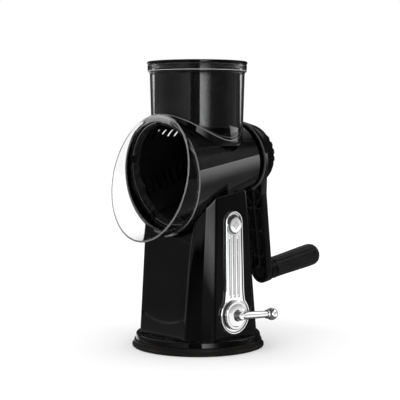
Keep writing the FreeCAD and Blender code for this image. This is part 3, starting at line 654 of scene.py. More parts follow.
# ---------------------------------------------------------------- barrel
s0, s1 = -57.0, 56.5
outer = [(0, s0), (rb(s0), s0), (rb(s1 - 1.2) , s1 - 1.2, 1.0), (rb(s1) - 1.6, s1, 1.0), (34.4, s1, 1.0), (34.0, 58.0, 0.6), (0, 58.0)]
bar = lathe("barrel", rounded(outer), 224, axm())
collar = loft("collar", [(circle(rtube(213.0) - k_, 192), z) for z, k_ in ((192.0, 15.0), (206.0, 4.2), (211.6, 0.3), (213.0, 0.0))] + [(circle(rtube(262.0), 192), 262.0)], up(0, -1.06, 0))
sad = lathe("sad", [(0, s0), (rsad(s0), s0), (rsad(70.0), 70.0), (0, 70.0)], 224, axm())
boolean(collar, sad, "INTERSECT")
MP = A0 + U * (-50.0)
tilt = math.radians(4.1)
rimM = frm(MP, (1, 0, 0), (0, math.cos(tilt), math.sin(tilt)), (0, -math.sin(tilt), math.cos(tilt)))   # local Y is back through the rim plane
boolean(bar, block("fp", (-90, -60, -95), (90, 0, 95), rimM))
boolean(bar, collar, "UNION")
inside = rounded([(0, -80.0), (56.6, -80.0), (56.6, -43.5), (rb(-43.5) - 2.4, -43.5), (rb(s1 - 4) - 2.4, s1 - 4, 2.0), (10.9, s1 - 4), (10.9, 70.0), (0, 70.0)])
boolean(bar, lathe("inside", inside, 192, axm(), 0.007))
boolean(bar, rod("hb", 44.9, 190.0, 280.0, up(0, -1.06, 0), 180))
bar = piece(bar, "barrel_housing_shell", "upper_unit", MAT["gloss_black"], ["barrel_housing"], angle=30, bevel=0.5, bevel_angle=50)


def true_normals(ob, surfaces):
    """Corner normals of faces that lie on a known turned surface are that surface's own."""
    me = ob.data
    cn = [tuple(c.vector) for c in me.corner_normals]
    V = np.array([v.co[:] for v in me.vertices]) * 1000.0
    hits = 0
    for q in me.polygons:
        P = V[list(q.vertices)]
        for inside, normal in surfaces:
            if inside(P):
                n = normal(P)
                fn = np.array(q.normal)
                if (n @ fn).min() > 0.9:
                    for k, li in enumerate(q.loop_indices):
                        cn[li] = tuple(n[k])
                    hits += 1
                break
    me.normals_split_custom_set(cn)
    me.update()
    print("NORMALS", ob.name, hits, "of", len(me.polygons))


def cone_in(P):
    s, d = on_axis(P)
    return np.abs(d - rb(s)).max() < 0.06


def cone_n(P):
    v = P - A0
    v = v - (v @ U)[:, None] * U
    v /= np.linalg.norm(v, axis=1, keepdims=True)
    v = v + 0.212 * U
    return v / np.linalg.norm(v, axis=1, keepdims=True)


true_normals(bar, [(cone_in, cone_n)])

# ---------------------------------------------------------------- clear hopper tube on its saddle
def hopper_mesh():
    n = 192
    th = 2 * math.pi * np.arange(n) / n
    cols = []
    def foot(r_of, t):
        lo, hi = 200.0, 262.0
        for _ in range(30):
            m = (lo + hi) / 2
            r = r_of(m)
            P = np.array([[r * math.cos(t), -1.06 + r * math.sin(t), m]])
            s, d = on_axis(P)
            if d[0] < rsad(s[0]) + 0.02: lo = m
            else: hi = m
        return (lo + hi) / 2
    top_out = rounded([(rtube(276.0), 276.0), (rtube(282.6), 282.6, 1.0), (51.3, 285.2, 0.9), (51.4, 291.4, 0.8), (49.0, 291.4, 0.6), (48.6, 289.6, 0.6), (46.9, 287.2, 1.0), (rtube(276.0) - 2.3, 276.0)], closed=False)
    # a shallow groove under the lip
    for t in th:
        zo, zi = foot(rtube, t), foot(lambda z: rtube(z) - 2.3, t)
        col = []
        def put(r, z): col.append((r * math.cos(t), -1.06 + r * math.sin(t), z))
        put(rtube(zo) - 0.5, zo); put(rtube(zo) - 0.1, zo + 0.1); put(rtube(zo), zo + 0.5)
        for k in range(1, 14):
            z = zo + 0.5 + (276.0 - zo - 0.5) * k / 14.0; put(rtube(z), z)
        for r, z in top_out: put(r, z)
        for k in range(13, 0, -1):
            z = zi + (276.0 - zi) * k / 14.0; put(rtube(z) - 2.3, z)
        put(rtube(zi) - 2.3, zi + 0.02)
        cols.append(col)
    return grid("hopper", np.array(cols), True, True)


ht = piece(hopper_mesh(), "hopper_tube_clear", "upper_unit", MAT["clear"], ["hopper_tube"], angle=40)


def near_saddle(c):
    s, d = on_axis(c[None])
    return d[0] < rsad(s[0]) + 0.9 or 284.6 < c[2] < 286.3 or c[2] > 291.2


# painted highlight: a greyer, less clear finish along the tube's foot on the saddle and on two bands of the lip
second_material(ht, MAT["clear_foot_highlight"], near_saddle)


# ---------------------------------------------------------------- clear splash guard
def guard_mesh():
    n = 224
    th = 2 * math.pi * np.arange(n) / n
    e2r = rimM[:3, 2]; nr = rimM[:3, 1]
    lean = math.radians(11.7)
    e2f = np.array([0, math.sin(lean), math.cos(lean)]); nf = np.array([0, -math.cos(lean), math.sin(lean)])
    C1 = np.array([0, -65.9, 176.8])
    cols = []
    for t in th:
        c, s = math.cos(t), math.sin(t)
        d1 = EX * c + e2r * s
        Pr = MP + 59.35 * d1
        Pf = C1 + 59.2 * c * EX + 65.5 * s * e2f
        df = Pf - C1; df /= np.linalg.norm(df)
        col = []
        L = np.linalg.norm(Pf - Pr)
        # outer face, rim to front edge, slightly bellied
        for k in range(15):
            q = k / 14.0
            col.append(Pr + (Pf - Pr) * q - nr * 0.12 * (1 - q))
        # rounded bead along the front edge
        wide = 1.0
        cc = Pf - df * 0.95
        for k in range(1, 8):
            a = math.pi * k / 8
            col.append(cc + df * 0.95 * math.cos(a) + nf * wide * math.sin(a) * 0.9)
        Pi = Pf - df * 1.9
        Ri = MP + 57.0 * d1
        for k in range(15):
            q = k / 14.0
            col.append(Pi + (Ri - Pi) * q)
        # flange step and spigot inside the mouth
        sp0 = MP - nr * 1.2 + 55.2 * d1
        col.append(MP - nr * 1.3 + 55.9 * d1)
        col.append(sp0)
        def at_s(r, st):
            # point on the coaxial cylinder r at station st, same clock angle
            v = d1 - U * (d1 @ U); v /= np.linalg.norm(v)
            return A0 + U * st + v * r
        col.append(at_s(55.2, -46.0)); col.append(at_s(55.3, -44.3)); col.append(at_s(55.75, -44.0)); col.append(at_s(56.2, -44.3)); col.append(at_s(56.3, -45.0))
        v = d1 - U * (d1 @ U); v /= np.linalg.norm(v)
        # meet the back of the rim flange
        B = at_s(56.3, -48.0)
        h = (B - MP) @ nr
        B = B - U * ((h + 0.12) / (U @ nr))
        col.append(B)
        cols.append(col)
    return grid("guard", np.array(cols), True, True)


g = guard_mesh()
# a small clear catch under the mouth
catch = []
for a in np.linspace(-15.0, 15.0, 31):
    q = math.radians(180.0 + a)
    v = -EX * math.sin(q) - DN * math.cos(q)
    hgt = 3.4 - 1.0 * abs(a) / 15.0
    pr = rounded([(59.0, -55.5), (59.0 + hgt, -55.5, 0.7), (59.0 + hgt, -51.2, 0.7), (59.0, -51.2)])
    catch.append([A0 + U * s_ + v * r_ for r_, s_ in pr])
cm = grid("catch", np.array(catch), False, True)
bm = bmesh.new(); bm.from_mesh(cm.data)
bmesh.ops.holes_fill(bm, edges=[e for e in bm.edges if e.is_boundary], sides=0)
bmesh.ops.recalc_face_normals(bm, faces=bm.faces)
bm.to_mesh(cm.data); bm.free()
guard = piece(g, "splash_guard_clear", "guard", MAT["clear"], ["splash_guard"], angle=40)
lean_ = math.radians(11.7)
NF = np.array([0, -math.cos(lean_), math.sin(lean_)])
CF = np.array([0, -65.9, 176.8])


def guard_edge(c):
    f = (c - CF) @ NF
    r = (c - MP) @ rimM[:3, 1]
    return f > -0.2


# painted highlight: a greyer, less clear finish on the guard's front bead
second_material(guard, MAT["clear_edge_highlight"], guard_edge)
# the catch is finished all over in the same painted-highlight clear
piece(cm, "splash_guard_catch", "guard", MAT["clear_edge_highlight"], angle=40)

# ---------------------------------------------------------------- button spring
def spring_mesh(name, lo, hi, turns=3.25, wire=0.42, n=40, m=12):
    """Coil of round wire along X that fills the box of its stand-in (millimetres)."""
    cy, cz = (lo[1] + hi[1]) / 2, (lo[2] + hi[2]) / 2
    R = (hi[1] - lo[1]) / 2 - wire - 0.1
    k = int(n * turns) + 1
    bm = bmesh.new()
    rings = []
    for i in range(k):
        f = i / (k - 1)
        a = 2 * math.pi * turns * f
        x = lo[0] + wire + (hi[0] - lo[0] - 2 * wire) * f
        rings.append([bm.verts.new((x + wire * math.sin(t), cy + (R + wire * math.cos(t)) * math.cos(a), cz + (R + wire * math.cos(t)) * math.sin(a)))
                      for t in (2 * math.pi * j / m for j in range(m))])
    for A, B in zip(rings, rings[1:]):
        for j in range(m):
            bm.faces.new((A[j], A[(j + 1) % m], B[(j + 1) % m], B[j]))
    bm.faces.new(rings[0][::-1]); bm.faces.new(rings[-1])
    me = bpy.data.meshes.new(name)
    bm.to_mesh(me); bm.free()
    ob = bpy.data.objects.new(name, me)
    S.collection.objects.link(ob)
    return ob


slo, shi = [[float(c) * 1000.0 for c in v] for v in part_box("button_spring")]
spr = piece(spring_mesh("spring", slo, shi), "button_spring_coil", "base", MAT["steel"], ["button_spring"], angle=60)
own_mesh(spr)

# ---------------------------------------------------------------- pusher
pb = rounded([(0, 227.0), (43.6, 227.0, 0.0), (44.4, 228.2, 0.0), (44.4, 291.8), (42.2, 291.8), (42.2, 242.0, 1.5), (41.0, 241.0, 0.5), (0, 241.0)])
pu = lathe("pusher", pb, 192, up(0, -1.06, 0))
boolean(pu, lathe("arch", [(0, s0), (rdrum(s0) + 2.2, s0), (rdrum(s1) + 2.2, s1), (0, s1)], 192, axm()))
piece(pu, "pusher_body_cup", "pusher", MAT["gloss_black"], ["pusher_body"], bevel=0.3, bevel_angle=50)
ld = rounded([(0, 286.0), (42.2, 286.0, 0.5), (42.2, 291.8), (50.9, 291.8, 0.3), (51.9, 292.4, 0.6), (51.9, 294.2, 0.7), (51.0, 295.0, 0.6), (47.5, 295.0, 0.5), (47.2, 294.6, 0.3), (46.4, 294.6, 0.3), (46.0, 295.0, 0.5),
              (0, 295.0)])
piece(lathe("lid", ld, 192, up(0, -1.06, 0)), "pusher_lid_cap", "pusher", MAT["gloss_black"], ["pusher_lid"])


# ---------------------------------------------------------------- drum
def drum_point(r, a, s):
    """a in degrees from the top towards -X."""
    q = math.radians(a)
    return A0 + U * s - EX * (r * math.sin(q)) - DN * (r * math.cos(q))


STEP0 = 2.0      # the first axial step line


def ramp(a):
    """How far the drum wall has come in since the last step line, 0 to 1."""
    return ((a - STEP0) / 72.0) % 1.0


def drum_mesh():
    n = 360
    angs = [STEP0 + 1e-3 + 0.0]
    A = []
    for seg in range(5):
        base = STEP0 + 72.0 * seg
        A += [base + 0.15] + list(base + 72.0 * np.arange(1, 60) / 60.0) + [base + 71.4]
    ss = [-37.0] + list(np.linspace(-36.4, 40.4, 40)) + [41.0]
    cols = []
    for a in A:
        f = ramp(a)
        off = 2.2 * f
        col = []
        for s in ss: col.append(drum_point(rdrum(s) - 1.0 * f, a, s))
        col.append(drum_point(rdrum(44.0) - 0.4 - 1.0 * f, a, 43.7)); col.append(drum_point(rdrum(44.0) - 1.0 - 1.0 * f, a, 44.0))
        for r in (24.0, 16.0): col.append(drum_point(r, a, 44.0))
        col.append(drum_point(7.1, a, 44.0)); col.append(drum_point(7.1, a, 24.0)); col.append(drum_point(10.0, a, 24.0)); col.append(drum_point(10.5, a, 24.5)); col.append(drum_point(10.5, a, 40.5)); col.append(drum_point(11.0, a, 41.0))
        for r in (16.0, 24.0): col.append(drum_point(r, a, 41.0))
        for s in ss[::-1]: col.append(drum_point(rdrum(s) - 1.6 - off, a, s) if s < 41 else drum_point(rdrum(s) - 1.6 - off - 0.5, a, s))
        cols.append(col)
    return grid("drum", np.array(cols), True, True)


drum = drum_mesh()
MAT["drum_black"] = plastic("drum_black", (0.0035, 0.0035, 0.0036), (0.006, 0.006, 0.0062), 0.10, 0.18, grain=900.0, grain_s=0.02)
cutters, teeth = [], []
for seg in range(5):
    for k in range(8):
        s = -33.5 + 8.0 * k
        ang = 38.0 + 72.0 * seg - 1.1 * k
        r = rdrum(s)
        q = math.radians(ang)
        v = -EX * math.sin(q) - DN * math.cos(q)          # outwards
        t = -EX * math.cos(q) + DN * math.sin(q)          # round the drum, towards -X
        M = frm(A0 + U * s + v * r, t, U, v)
        w = 9.0 * r / 50.0
        lo = rounded([(-w, -2.1, 1.9), (w, -2.1, 1.9), (w, 2.1, 1.9), (-w, 2.1, 1.9)])
        cutters.append(loft("c", [(lo, -7.0), (lo, 5.0)], M))
        # raised cutting lip: a curved steel tongue that rises over the slot
        P = []
        for i in range(15):
            f = i / 14.0
            x = -w * 0.96 + 2 * w * 0.96 * f
            arch = math.sin(math.pi * f)
            drop = (x * x) / (2 * r)
            row = []
            for j in range(9):
                g_ = j / 8.0
                y = -2.3 + 2.9 * g_ * (0.35 + 0.65 * arch)
                h = -0.55 - drop + 1.35 * arch * g_ ** 1.4 - 0.35 * (1 - arch)
                row.append((x, y, h))
            for j in range(8, -1, -1):
                y = row[j][1]; row.append((x, y, row[j][2] - 0.5))
            P.append(row)
        P = np.array(P)
        sh = P.shape
        teeth.append(grid("t", tf(P.reshape(-1, 3), M).reshape(sh), False, True, cap=False))
        ob = teeth[-1]
        bm = bmesh.new(); bm.from_mesh(ob.data)
        bmesh.ops.holes_fill(bm, edges=[e for e in bm.edges if e.is_boundary], sides=0)
        bmesh.ops.recalc_face_normals(bm, faces=bm.faces)
        bm.to_mesh(ob.data); bm.free()
boolean(drum, join(*cutters))
piece(drum, "drum_body_cone", "drum", MAT["drum_black"], ["drum_body"], angle=30)
piece(join(*teeth), "drum_cutting_teeth", "drum", MAT["blade_steel"], ["drum_blades"], angle=40)


def ring_mesh():
    cols = []
    A = []
    for seg in range(5):
        base = STEP0 + 72.0 * seg
        A += list(base + 72.0 * np.arange(0, 60) / 60.0 + 0.15) + [base + 71.6]
    for a in A:
        f = ramp(a)
        notch = 1.0 if (f < 0.055 or f > 0.945) else 0.0
        fr = -43.0 + 2.4 * notch
        ri = 3.0 + 1.1 * f
        pr = [(rdrum(-37.0), -37.0), (rdrum(fr) , fr + 0.7), (rdrum(fr) - 0.3, fr + 0.15), (rdrum(fr) - 0.8, fr), (rdrum(fr) - ri + 0.8, fr), (rdrum(fr) - ri + 0.2, fr + 0.15), (rdrum(fr) - ri, fr + 0.7), (rdrum(-37.0) - ri, -37.0)]
        cols.append([drum_point(r, a, s) for r, s in pr])
    return grid("ring", np.array(cols), True, True)


dr = piece(ring_mesh(), "drum_front_ring", "drum", MAT["gloss_black"], ["drum_ring"], angle=30)
# painted highlight: a grey line round the outer edge of the ring's front face
second_material(dr, MAT["painted_drum_ring_highlight"], lambda c: on_axis(c[None])[0][0] < rdrum(-43.0) * 0 - 40.0 and on_axis(c[None])[1][0] > rdrum(-43.0) - 0.75)

# ---------------------------------------------------------------- crank arm with its bowl hub
TURN = math.radians(1.6)      # the crank rests a little short of straight down
EXC, DNC = EX * math.cos(TURN) + DN * math.sin(TURN), DN * math.cos(TURN) - EX * math.sin(TURN)


def axc(s=0.0, d=0.0):
    return frm(A0 + U * s + DNC * d, EXC, DNC, U)


bw = 2.2
bowl = lathe("bowl", rounded([(0, 62.0), (38.5, 62.0, 0.6), (38.3, 66.0, 1.0), (31.4, 82.6, 3.0), (27.8, 84.0, 1.0), (0, 84.0)]), 192, axc())
arm_out = [(-19.0, 18.0), (-14.8, 44.0, 12.0), (-12.8, CRANK)] + [(-12.8 * math.cos(t), CRANK + 12.8 * math.sin(t)) for t in np.linspace(0, math.pi, 33)][1:-1] + [(12.8, CRANK), (14.8, 44.0, 12.0), (19.0, 18.0)]
arm_loop = rounded(arm_out)
arm_loop = [(x, y) for x, y in arm_loop]
area = sum(arm_loop[i - 1][0] * arm_loop[i][1] - arm_loop[i][0] * arm_loop[i - 1][1] for i in range(len(arm_loop)))
if area < 0: arm_loop = arm_loop[::-1]
arm = slab("arm", arm_loop, 75.2, 84.0, 1.4, axc(), 5)
boolean(bowl, arm, "UNION")
boolean(bowl, lathe("bi", rounded([(0, 61.0), (36.6, 61.0), (36.2, 66.0, 1.0), (29.8, 80.2, 2.0), (0, 81.0)]), 160, axc()))
inn = inset(arm_loop, 2.2)
inn = [(x, y) for x, y in inn]
boolean(bowl, loft("ai", [(inn, 61.5), (inn, 81.4)], axc()))
boss = lathe("boss", rounded([(0, 60.2), (14.4, 60.2, 0.3), (15.0, 60.8, 0.4), (15.0, 83.5), (0, 83.5)]), 96, axc())
boolean(bowl, boss, "UNION")
boolean(bowl, lathe("pb", rounded([(0, 75.8), (7.0, 75.8, 0.5), (7.4, 77.0, 0.4), (7.4, 83.0), (0, 83.0)]), 64, axc(0, CRANK)), "UNION")


def bar_between(p, q, w, z0, z1):
    p, q = np.array(p, float), np.array(q, float)
    d = (q - p) / np.linalg.norm(q - p); n_ = np.array([-d[1], d[0]]) * w / 2
    L = [tuple(p - n_), tuple(q - n_), tuple(q + n_), tuple(p + n_)]
    return loft("rib", [(L, z0), (L, z1)], axc())


def half(d):
    return (14.8 if d < 44 else 14.8 - 2.0 * (d - 44) / (CRANK - 44)) - 1.2


ribs = [bar_between((0, 30.0), (0, CRANK - 6.0), 1.5, 77.0, 82.5)]
cross = (35.0, 60.0, 85.5, 114.0)
for d in cross:
    ribs.append(bar_between((-half(d), d), (half(d), d), 1.5, 76.4, 82.6))
for d in cross[1:]:
    for sx in (-1, 1):
        if d == 60.0:
            ribs.append(bar_between((0, d), (sx * half(d - 16), d - 16.0), 1.2, 77.2, 82.4))
        else:
            ribs.append(bar_between((sx * 0.35 * half(d), d), (sx * half(d - 9), d - 8.5), 1.2, 77.6, 82.4))
        ribs.append(bar_between((sx * 0.35 * half(d), d), (sx * half(d + 9), d + 8.5), 1.2, 77.6, 82.4))
for rbz in ribs:
    boolean(bowl, rbz, "UNION")
boolean(bowl, rod("sh", 7.0, 50.0, 90.0, axc(), 64))
boolean(bowl, lathe("ph", [(0, 76.15), (6.42, 76.15), (6.42, 79.0), (4.0, 79.0), (4.0, 90.0), (0, 90.0)], 48, axc(0, CRANK)))
bowl = piece(bowl, "crank_arm_moulding", "crank", MAT["gloss_black"], ["crank_arm"], angle=30, bevel=0.25, bevel_angle=50)


def bowl_rim(c):
    s_, d_ = on_axis(c[None])
    return 61.5 < s_[0] < 62.9 and d_[0] > 37.0


# painted highlight: a grey band round the front rim of the crank bowl
second_material(bowl, MAT["painted_bowl_rim_highlight"], bowl_rim)

# scalloped nut
nl = []
for k in range(400):
    t = 2 * math.pi * k / 400
    ph = (math.degrees(t) - 90 - 3.5) % 18.0
    ph = min(ph, 18.0 - ph)                      # degrees from a scallop's middle
    nl.append((27.3 - 1.5 * math.exp(-(ph / 3.6) ** 2)))
nutloop = [(r * math.cos(2 * math.pi * k / 400), r * math.sin(2 * math.pi * k / 400)) for k, r in enumerate(nl)]
nut = slab("nut", nutloop, 84.1, 88.6, 1.2, axc(), 5)
dish = lathe("dish", rounded([(0, 87.4), (17.0, 87.4, 1.0), (20.0, 88.4, 1.0), (21.0, 90.0), (0, 90.0)]), 128, axc())
boolean(nut, dish)
cap = lathe("cap", rounded([(0, 87.0), (9.0, 87.0), (9.0, 88.2, 0.6), (7.5, 88.6, 0.8), (0, 88.6)]), 96, axc())
boolean(nut, cap, "UNION")
piece(nut, "crank_nut_knob", "crank", MAT["gloss_black"], ["crank_nut"], angle=35)

# ---------------------------------------------------------------- grip
gc = rounded([(4.06, 84.4), (12.0, 84.4, 0.4), (12.6, 84.9, 0.4), (12.6, 86.2, 0.5), (11.7, 88.4, 1.0), (11.3, 92.6, 1.0), (11.9, 94.2, 0.4), (11.9, 95.3, 0.4), (11.4, 95.85, 0.3), (4.06, 95.85)])
piece(lathe("gc", gc, 96, axc(0, CRANK)), "grip_collar_ring", "handle", MAT["satin_black"], ["grip_collar"])


def grip_mesh():
    n = 16 * 22
    prof = [(4.06, 96.0, 0), (10.6, 96.0, 0), (11.15, 96.25, 0), (11.4, 96.9, 0.2), (11.6, 98.2, 0.8)]
    for k in range(1, 25):
        s = 98.2 + (156.4 - 98.2) * k / 24.0
        prof.append((11.65 + 0.95 * smooth01((s - 98.2) / 58.0), s, 1.0))
    prof += [(12.55, 158.4, 1.0), (12.3, 160.6, 0.9), (11.6, 162.8, 0.65), (10.2, 164.7, 0.4), (8.2, 165.8, 0.15), (6.0, 166.3, 0.0), (3.0, 166.4, 0.0), (0.0, 166.4, 0.0), (0.0, 152.0, 0), (4.06, 152.0, 0)]
    M = axc(0, CRANK)
    cols = []
    for k in range(n):
        t = 2 * math.pi * k / n
        ph = (k % 22) / 22.0
        # broad rounded lands with narrow grooves between them
        g_ = math.exp(-((min(ph, 1 - ph)) / 0.11) ** 2)
        col = []
        for r, s, w in prof:
            rr = r - 0.95 * w * g_
            col.append((rr * math.cos(t), rr * math.sin(t), s))
        cols.append(tf(col, M))
    return grid("grip", np.array(cols), True, True)


piece(grip_mesh(), "grip_fluted", "handle", MAT["grip_black"], ["grip"], angle=60)


# ---------------------------------------------------------------- chrome keyhole trim
LEAN = math.atan(2.0 / 111.4)


def side_x(z):
    return 55.0 - (z - 13.6) / (125.0 - 13.6) * 2.0 if z <= 125.0 else 53.0 - (z - 125.0) / 47.0


TM = alongx(side_x(37.6) + 0.02, 0, 37.6, LEAN)          # local X runs down the face, local Z out of it
TOPX = -(143.0 - 37.6 - 11.4) / math.cos(LEAN)


def keyhole(n_round=72):
    """Outline of the trim in its own plane: round foot, waisted neck, straight stem, round top."""
    pts = []
    R, r = 19.6, 11.4
    neck = [(-15.0, 13.6, 6.0), (-24.0, 12.5, 20.0)]
    a0 = math.atan2(13.6, -13.2)
    for k in range(n_round + 1):                          # round foot, from one neck to the other through +X
        t = -a0 + 2 * a0 * k / n_round
        pts.append((R * math.cos(t) * 1.0, R * math.sin(t), 0))
    pts += [(-17.2, 13.3, 5.0), (-24.5, 12.55, 14.0), (-60.0, 12.0, 0), (TOPX, r + 0.02, 0)]
    for k in range(1, 32):
        t = math.pi / 2 + math.pi * k / 32
        pts.append((TOPX + r * math.cos(t), r * math.sin(t), 0))
    pts += [(TOPX, -r - 0.02, 0), (-60.0, -12.0, 0), (-24.5, -12.55, 14.0), (-17.2, -13.3, 5.0)]
    L = rounded(pts)
    out = []
    for i, p in enumerate(L):                             # even spacing along long straight runs
        q = L[(i + 1) % len(L)]
        d = math.hypot(q[0] - p[0], q[1] - p[1])
        if d < 1e-6: continue
        m = max(1, int(d / 3.0))
        for j in range(m):
            out.append((p[0] + (q[0] - p[0]) * j / m, p[1] + (q[1] - p[1]) * j / m))
    return out


KH = keyhole()
ar = sum(KH[i - 1][0] * KH[i][1] - KH[i][0] * KH[i - 1][1] for i in range(len(KH)))
if ar < 0: KH = KH[::-1]
levels = [(0.0, 0.0), (0.0, 1.7), (0.12, 2.1), (0.45, 2.36), (0.85, 2.4), (1.25, 2.3), (1.6, 2.0), (1.8, 1.65), (2.2, 1.45), (2.9, 1.4)]
trim = loft("trim", [(inset(KH, d), h) for d, h in levels], TM)


def capsule(x0, x1, y, r, z, M, grow=0.0):
    r = r + grow
    L = [(x0 - 0 + r * math.cos(t), y + r * math.sin(t)) for t in np.linspace(math.pi / 2, 3 * math.pi / 2, 13)] + [(x1 + r * math.cos(t), y + r * math.sin(t)) for t in np.linspace(-math.pi / 2, math.pi / 2, 13)]
    return L, z


for y in (-5.6, 0.0, 5.6):
    x0, x1 = -(116.0 - 37.6) + (0 if y else -3.5), -(57.0 - 37.6)
    Ls = [capsule(x0, x1, y, 1.0, 0.75, TM), capsule(x0, x1, y, 1.0, 0.85, TM, 0.35), capsule(x0, x1, y, 1.0, 1.2, TM, 0.62), capsule(x0, x1, y, 1.0, 1.9, TM, 0.9)]
    boolean(trim, loft("pill", Ls, TM))
    L2 = [capsule(x0 + 1.2, x1 - 1.2, y, 0.42, 0.5, TM), capsule(x0 + 1.2, x1 - 1.2, y, 0.42, 1.05, TM), capsule(x0 + 1.2, x1 - 1.2, y, 0.12, 1.3, TM)]
    boolean(trim, loft("pillbar", L2, TM), "UNION")
bxm = alongx(side_x(129.0), 0, 129.0)
boolean(trim, rod("bw", 8.55, -8, 8, bxm, 96))
boolean(trim, rod("cw", 4.06, -8, 8, alongx(55, 0, 37.6), 64))
# raised collar round the button
colr = lathe("colr", rounded([(8.55, 0.4), (10.4, 0.4), (10.2, 2.0, 0.4), (9.6, 2.5, 0.4), (8.9, 2.5, 0.3), (8.55, 2.1, 0.2)]), 128, alongx(side_x(129.0), 0, 129.0, LEAN * 0.5))
boolean(trim, colr, "UNION")
trim = piece(trim, "side_trim_chrome", "base", MAT["chrome_satin"], ["side_trim"], angle=25)
TI = np.linalg.inv(TM)
KHA = np.array(KH)
BTN = np.array([bxm[0, 3], bxm[1, 3], bxm[2, 3]])


def trim_shadow_line(c):
    """The step inside the raised border, and the well round the button."""
    q = TI[:3, :3] @ c + TI[:3, 3]
    bd = math.hypot(c[1] - BTN[1], c[2] - BTN[2])
    if bd < 10.6:
        return q[2] > 0.2 and (bd < 9.1 or c[2] > BTN[2] + 1.5)
    if not 1.43 < q[2] < 2.02:
        return False
    return np.hypot(KHA[:, 0] - q[0], KHA[:, 1] - q[1]).min() > 1.35


# painted shade: a dark grey finish on the trim's inner step and in the well round the button
second_material(trim, MAT["painted_lip_highlight_trim_shade"], trim_shadow_line)


# ---------------------------------------------------------------- release button with a dimpled face
def button_mesh():
    n = 180
    prof = rounded([(0, -9.0), (5.0, -9.0, 0.4), (5.0, -4.0), (8.2, -4.0, 0.3), (8.2, 3.2, 0.5), (7.4, 4.1, 0.7)], closed=False)
    rings = [(r, z) for r, z in prof]
    m = 56
    for k in range(1, m + 1):
        r = 7.3 * (1 - k / m)
        rings.append((r, 4.1 + 0.5 * (1 - (r / 7.3) ** 2)))
    dots = [((u - v) * 1.6, (u + v) * 1.6) for u in (-1, 0, 1) for v in (-1, 0, 1)]
    cols = []
    for k in range(n):
        t = 2 * math.pi * k / n
        col = []
        for r, z in rings:
            x, y = r * math.cos(t), r * math.sin(t)
            if z > 4.0:
                for dx, dy in dots:
                    d = math.hypot(x - dx, y - dy)
                    z -= 0.55 * math.exp(-(d / 0.62) ** 4)
            col.append((x, y, z))
        cols.append(tf(col, bxm))
    return grid("btn", np.array(cols), True, False)


bt = button_mesh()
bt = piece(bt, "release_button_cap", "button", MAT["chrome"], ["release_button"], angle=40)
BX = bxm[:3, 0]; BY = bxm[:3, 1]; BZ = bxm[:3, 2]; BO = bxm[:3, 3]


def dimple(c):
    x, y, z = (c - BO) @ BX, (c - BO) @ BY, (c - BO) @ BZ
    if z < 3.0 or math.hypot(x, y) > 4.6:
        return False
    return any(math.hypot(x - (u - v) * 1.6, y - (u + v) * 1.6) < 0.62 for u in (-1, 0, 1) for v in (-1, 0, 1))


second_material(bt, MAT["satin_black"], dimple)

# ---------------------------------------------------------------- suction lever
LXM = alongx(57.9, 0, 37.6)
disc = lathe("disc", rounded([(0, -0.28), (14.8, -0.28, 0.1), (15.0, 0.0), (15.0, 0.8, 0.4), (14.2, 1.5, 0.5), (13.2, 1.6, 0.2), (12.9, 1.1, 0.15), (12.2, 1.1, 0.15), (11.9, 1.75, 0.3), (9.0, 2.6, 4.0), (5.0, 3.1, 3.0), (0, 3.3)]), 160, LXM)


def tube_path(name, pts, radii, n=40, squash=None):
    """Closed tube through points with a radius (a, b) at each; the ends are rounded."""
    pts = np.array(pts, float)
    tang = np.gradient(pts, axis=0)
    tang /= np.linalg.norm(tang, axis=1, keepdims=True)
    P = np.zeros((n, len(pts), 3))
    side = np.array([0.0, 0.0, 1.0])
    for j, (p, t, r) in enumerate(zip(pts, tang, radii)):
        b = side - t * (side @ t); b /= np.linalg.norm(b)
        a = np.cross(b, t)
        for k in range(n):
            q = 2 * math.pi * k / n
            P[k, j] = p + a * r[0] * math.cos(q) + b * r[1] * math.sin(q)
    return grid(name, P, True, False, cap=True)


lx = 57.9 + 7.6
pa, pc = np.array([lx - 0.9, -1.0, 37.9]), np.array([lx + 0.4, 43.0, 35.0])
pth, rad = [], []
for k in range(41):
    f = k / 40.0
    pth.append(pa + (pc - pa) * f)
    r = 4.3 - 1.0 * f
    if k < 7:
        r *= math.sqrt(max(0.02, 1 - ((6 - k) / 6.3) ** 2))
    rad.append((r * 1.0, r))
lv = tube_path("lv", pth, rad, 48)
boss2 = lathe("boss2", rounded([(0, 1.0), (6.6, 1.0), (6.2, 3.2, 0.8), (5.0, 5.4, 1.5), (4.4, 9.0, 2.0), (0, 10.2)]), 96, LXM)
boolean(disc, boss2, "UNION")
boolean(disc, lv, "UNION")
nb = 48
ballp = [(6.4 * math.sin(math.pi * k / nb), -6.4 * math.cos(math.pi * k / nb)) for k in range(nb + 1)]
dirv = (pc - pa) / np.linalg.norm(pc - pa)
ex = np.cross(dirv, [0, 0, 1.0]); ex /= np.linalg.norm(ex)
ball = lathe("ball", ballp, 96, frm(pc, ex, np.cross(dirv, ex), dirv))
neck = lathe("neck", rounded([(0, -8.2), (3.9, -8.2, 0.4), (4.6, -7.2, 0.4), (4.6, -6.2, 0.5), (3.6, -5.0), (0, -5.0)]), 96, frm(pc, ex, np.cross(dirv, ex), dirv))
boolean(disc, neck, "UNION")
boolean(disc, ball, "UNION")
piece(disc, "suction_lever_chrome", "lever", MAT["chrome"], ["suction_lever"], angle=32)

# ---------------------------------------------------------------- camera
cam = bpy.data.objects.new("camera", bpy.data.cameras.new("camera"))
S.collection.objects.link(cam)
cam.data.sensor_width, cam.data.lens = 36.0, 100.75
cam.data.clip_start, cam.data.clip_end = 0.01, 20.0
cam.location = (0.86754, -0.77972, 0.23232)
cam.rotation_euler = Vector((-0.74079, 0.66818, -0.06906)).to_track_quat("-Z", "Y").to_euler()
S.camera = cam

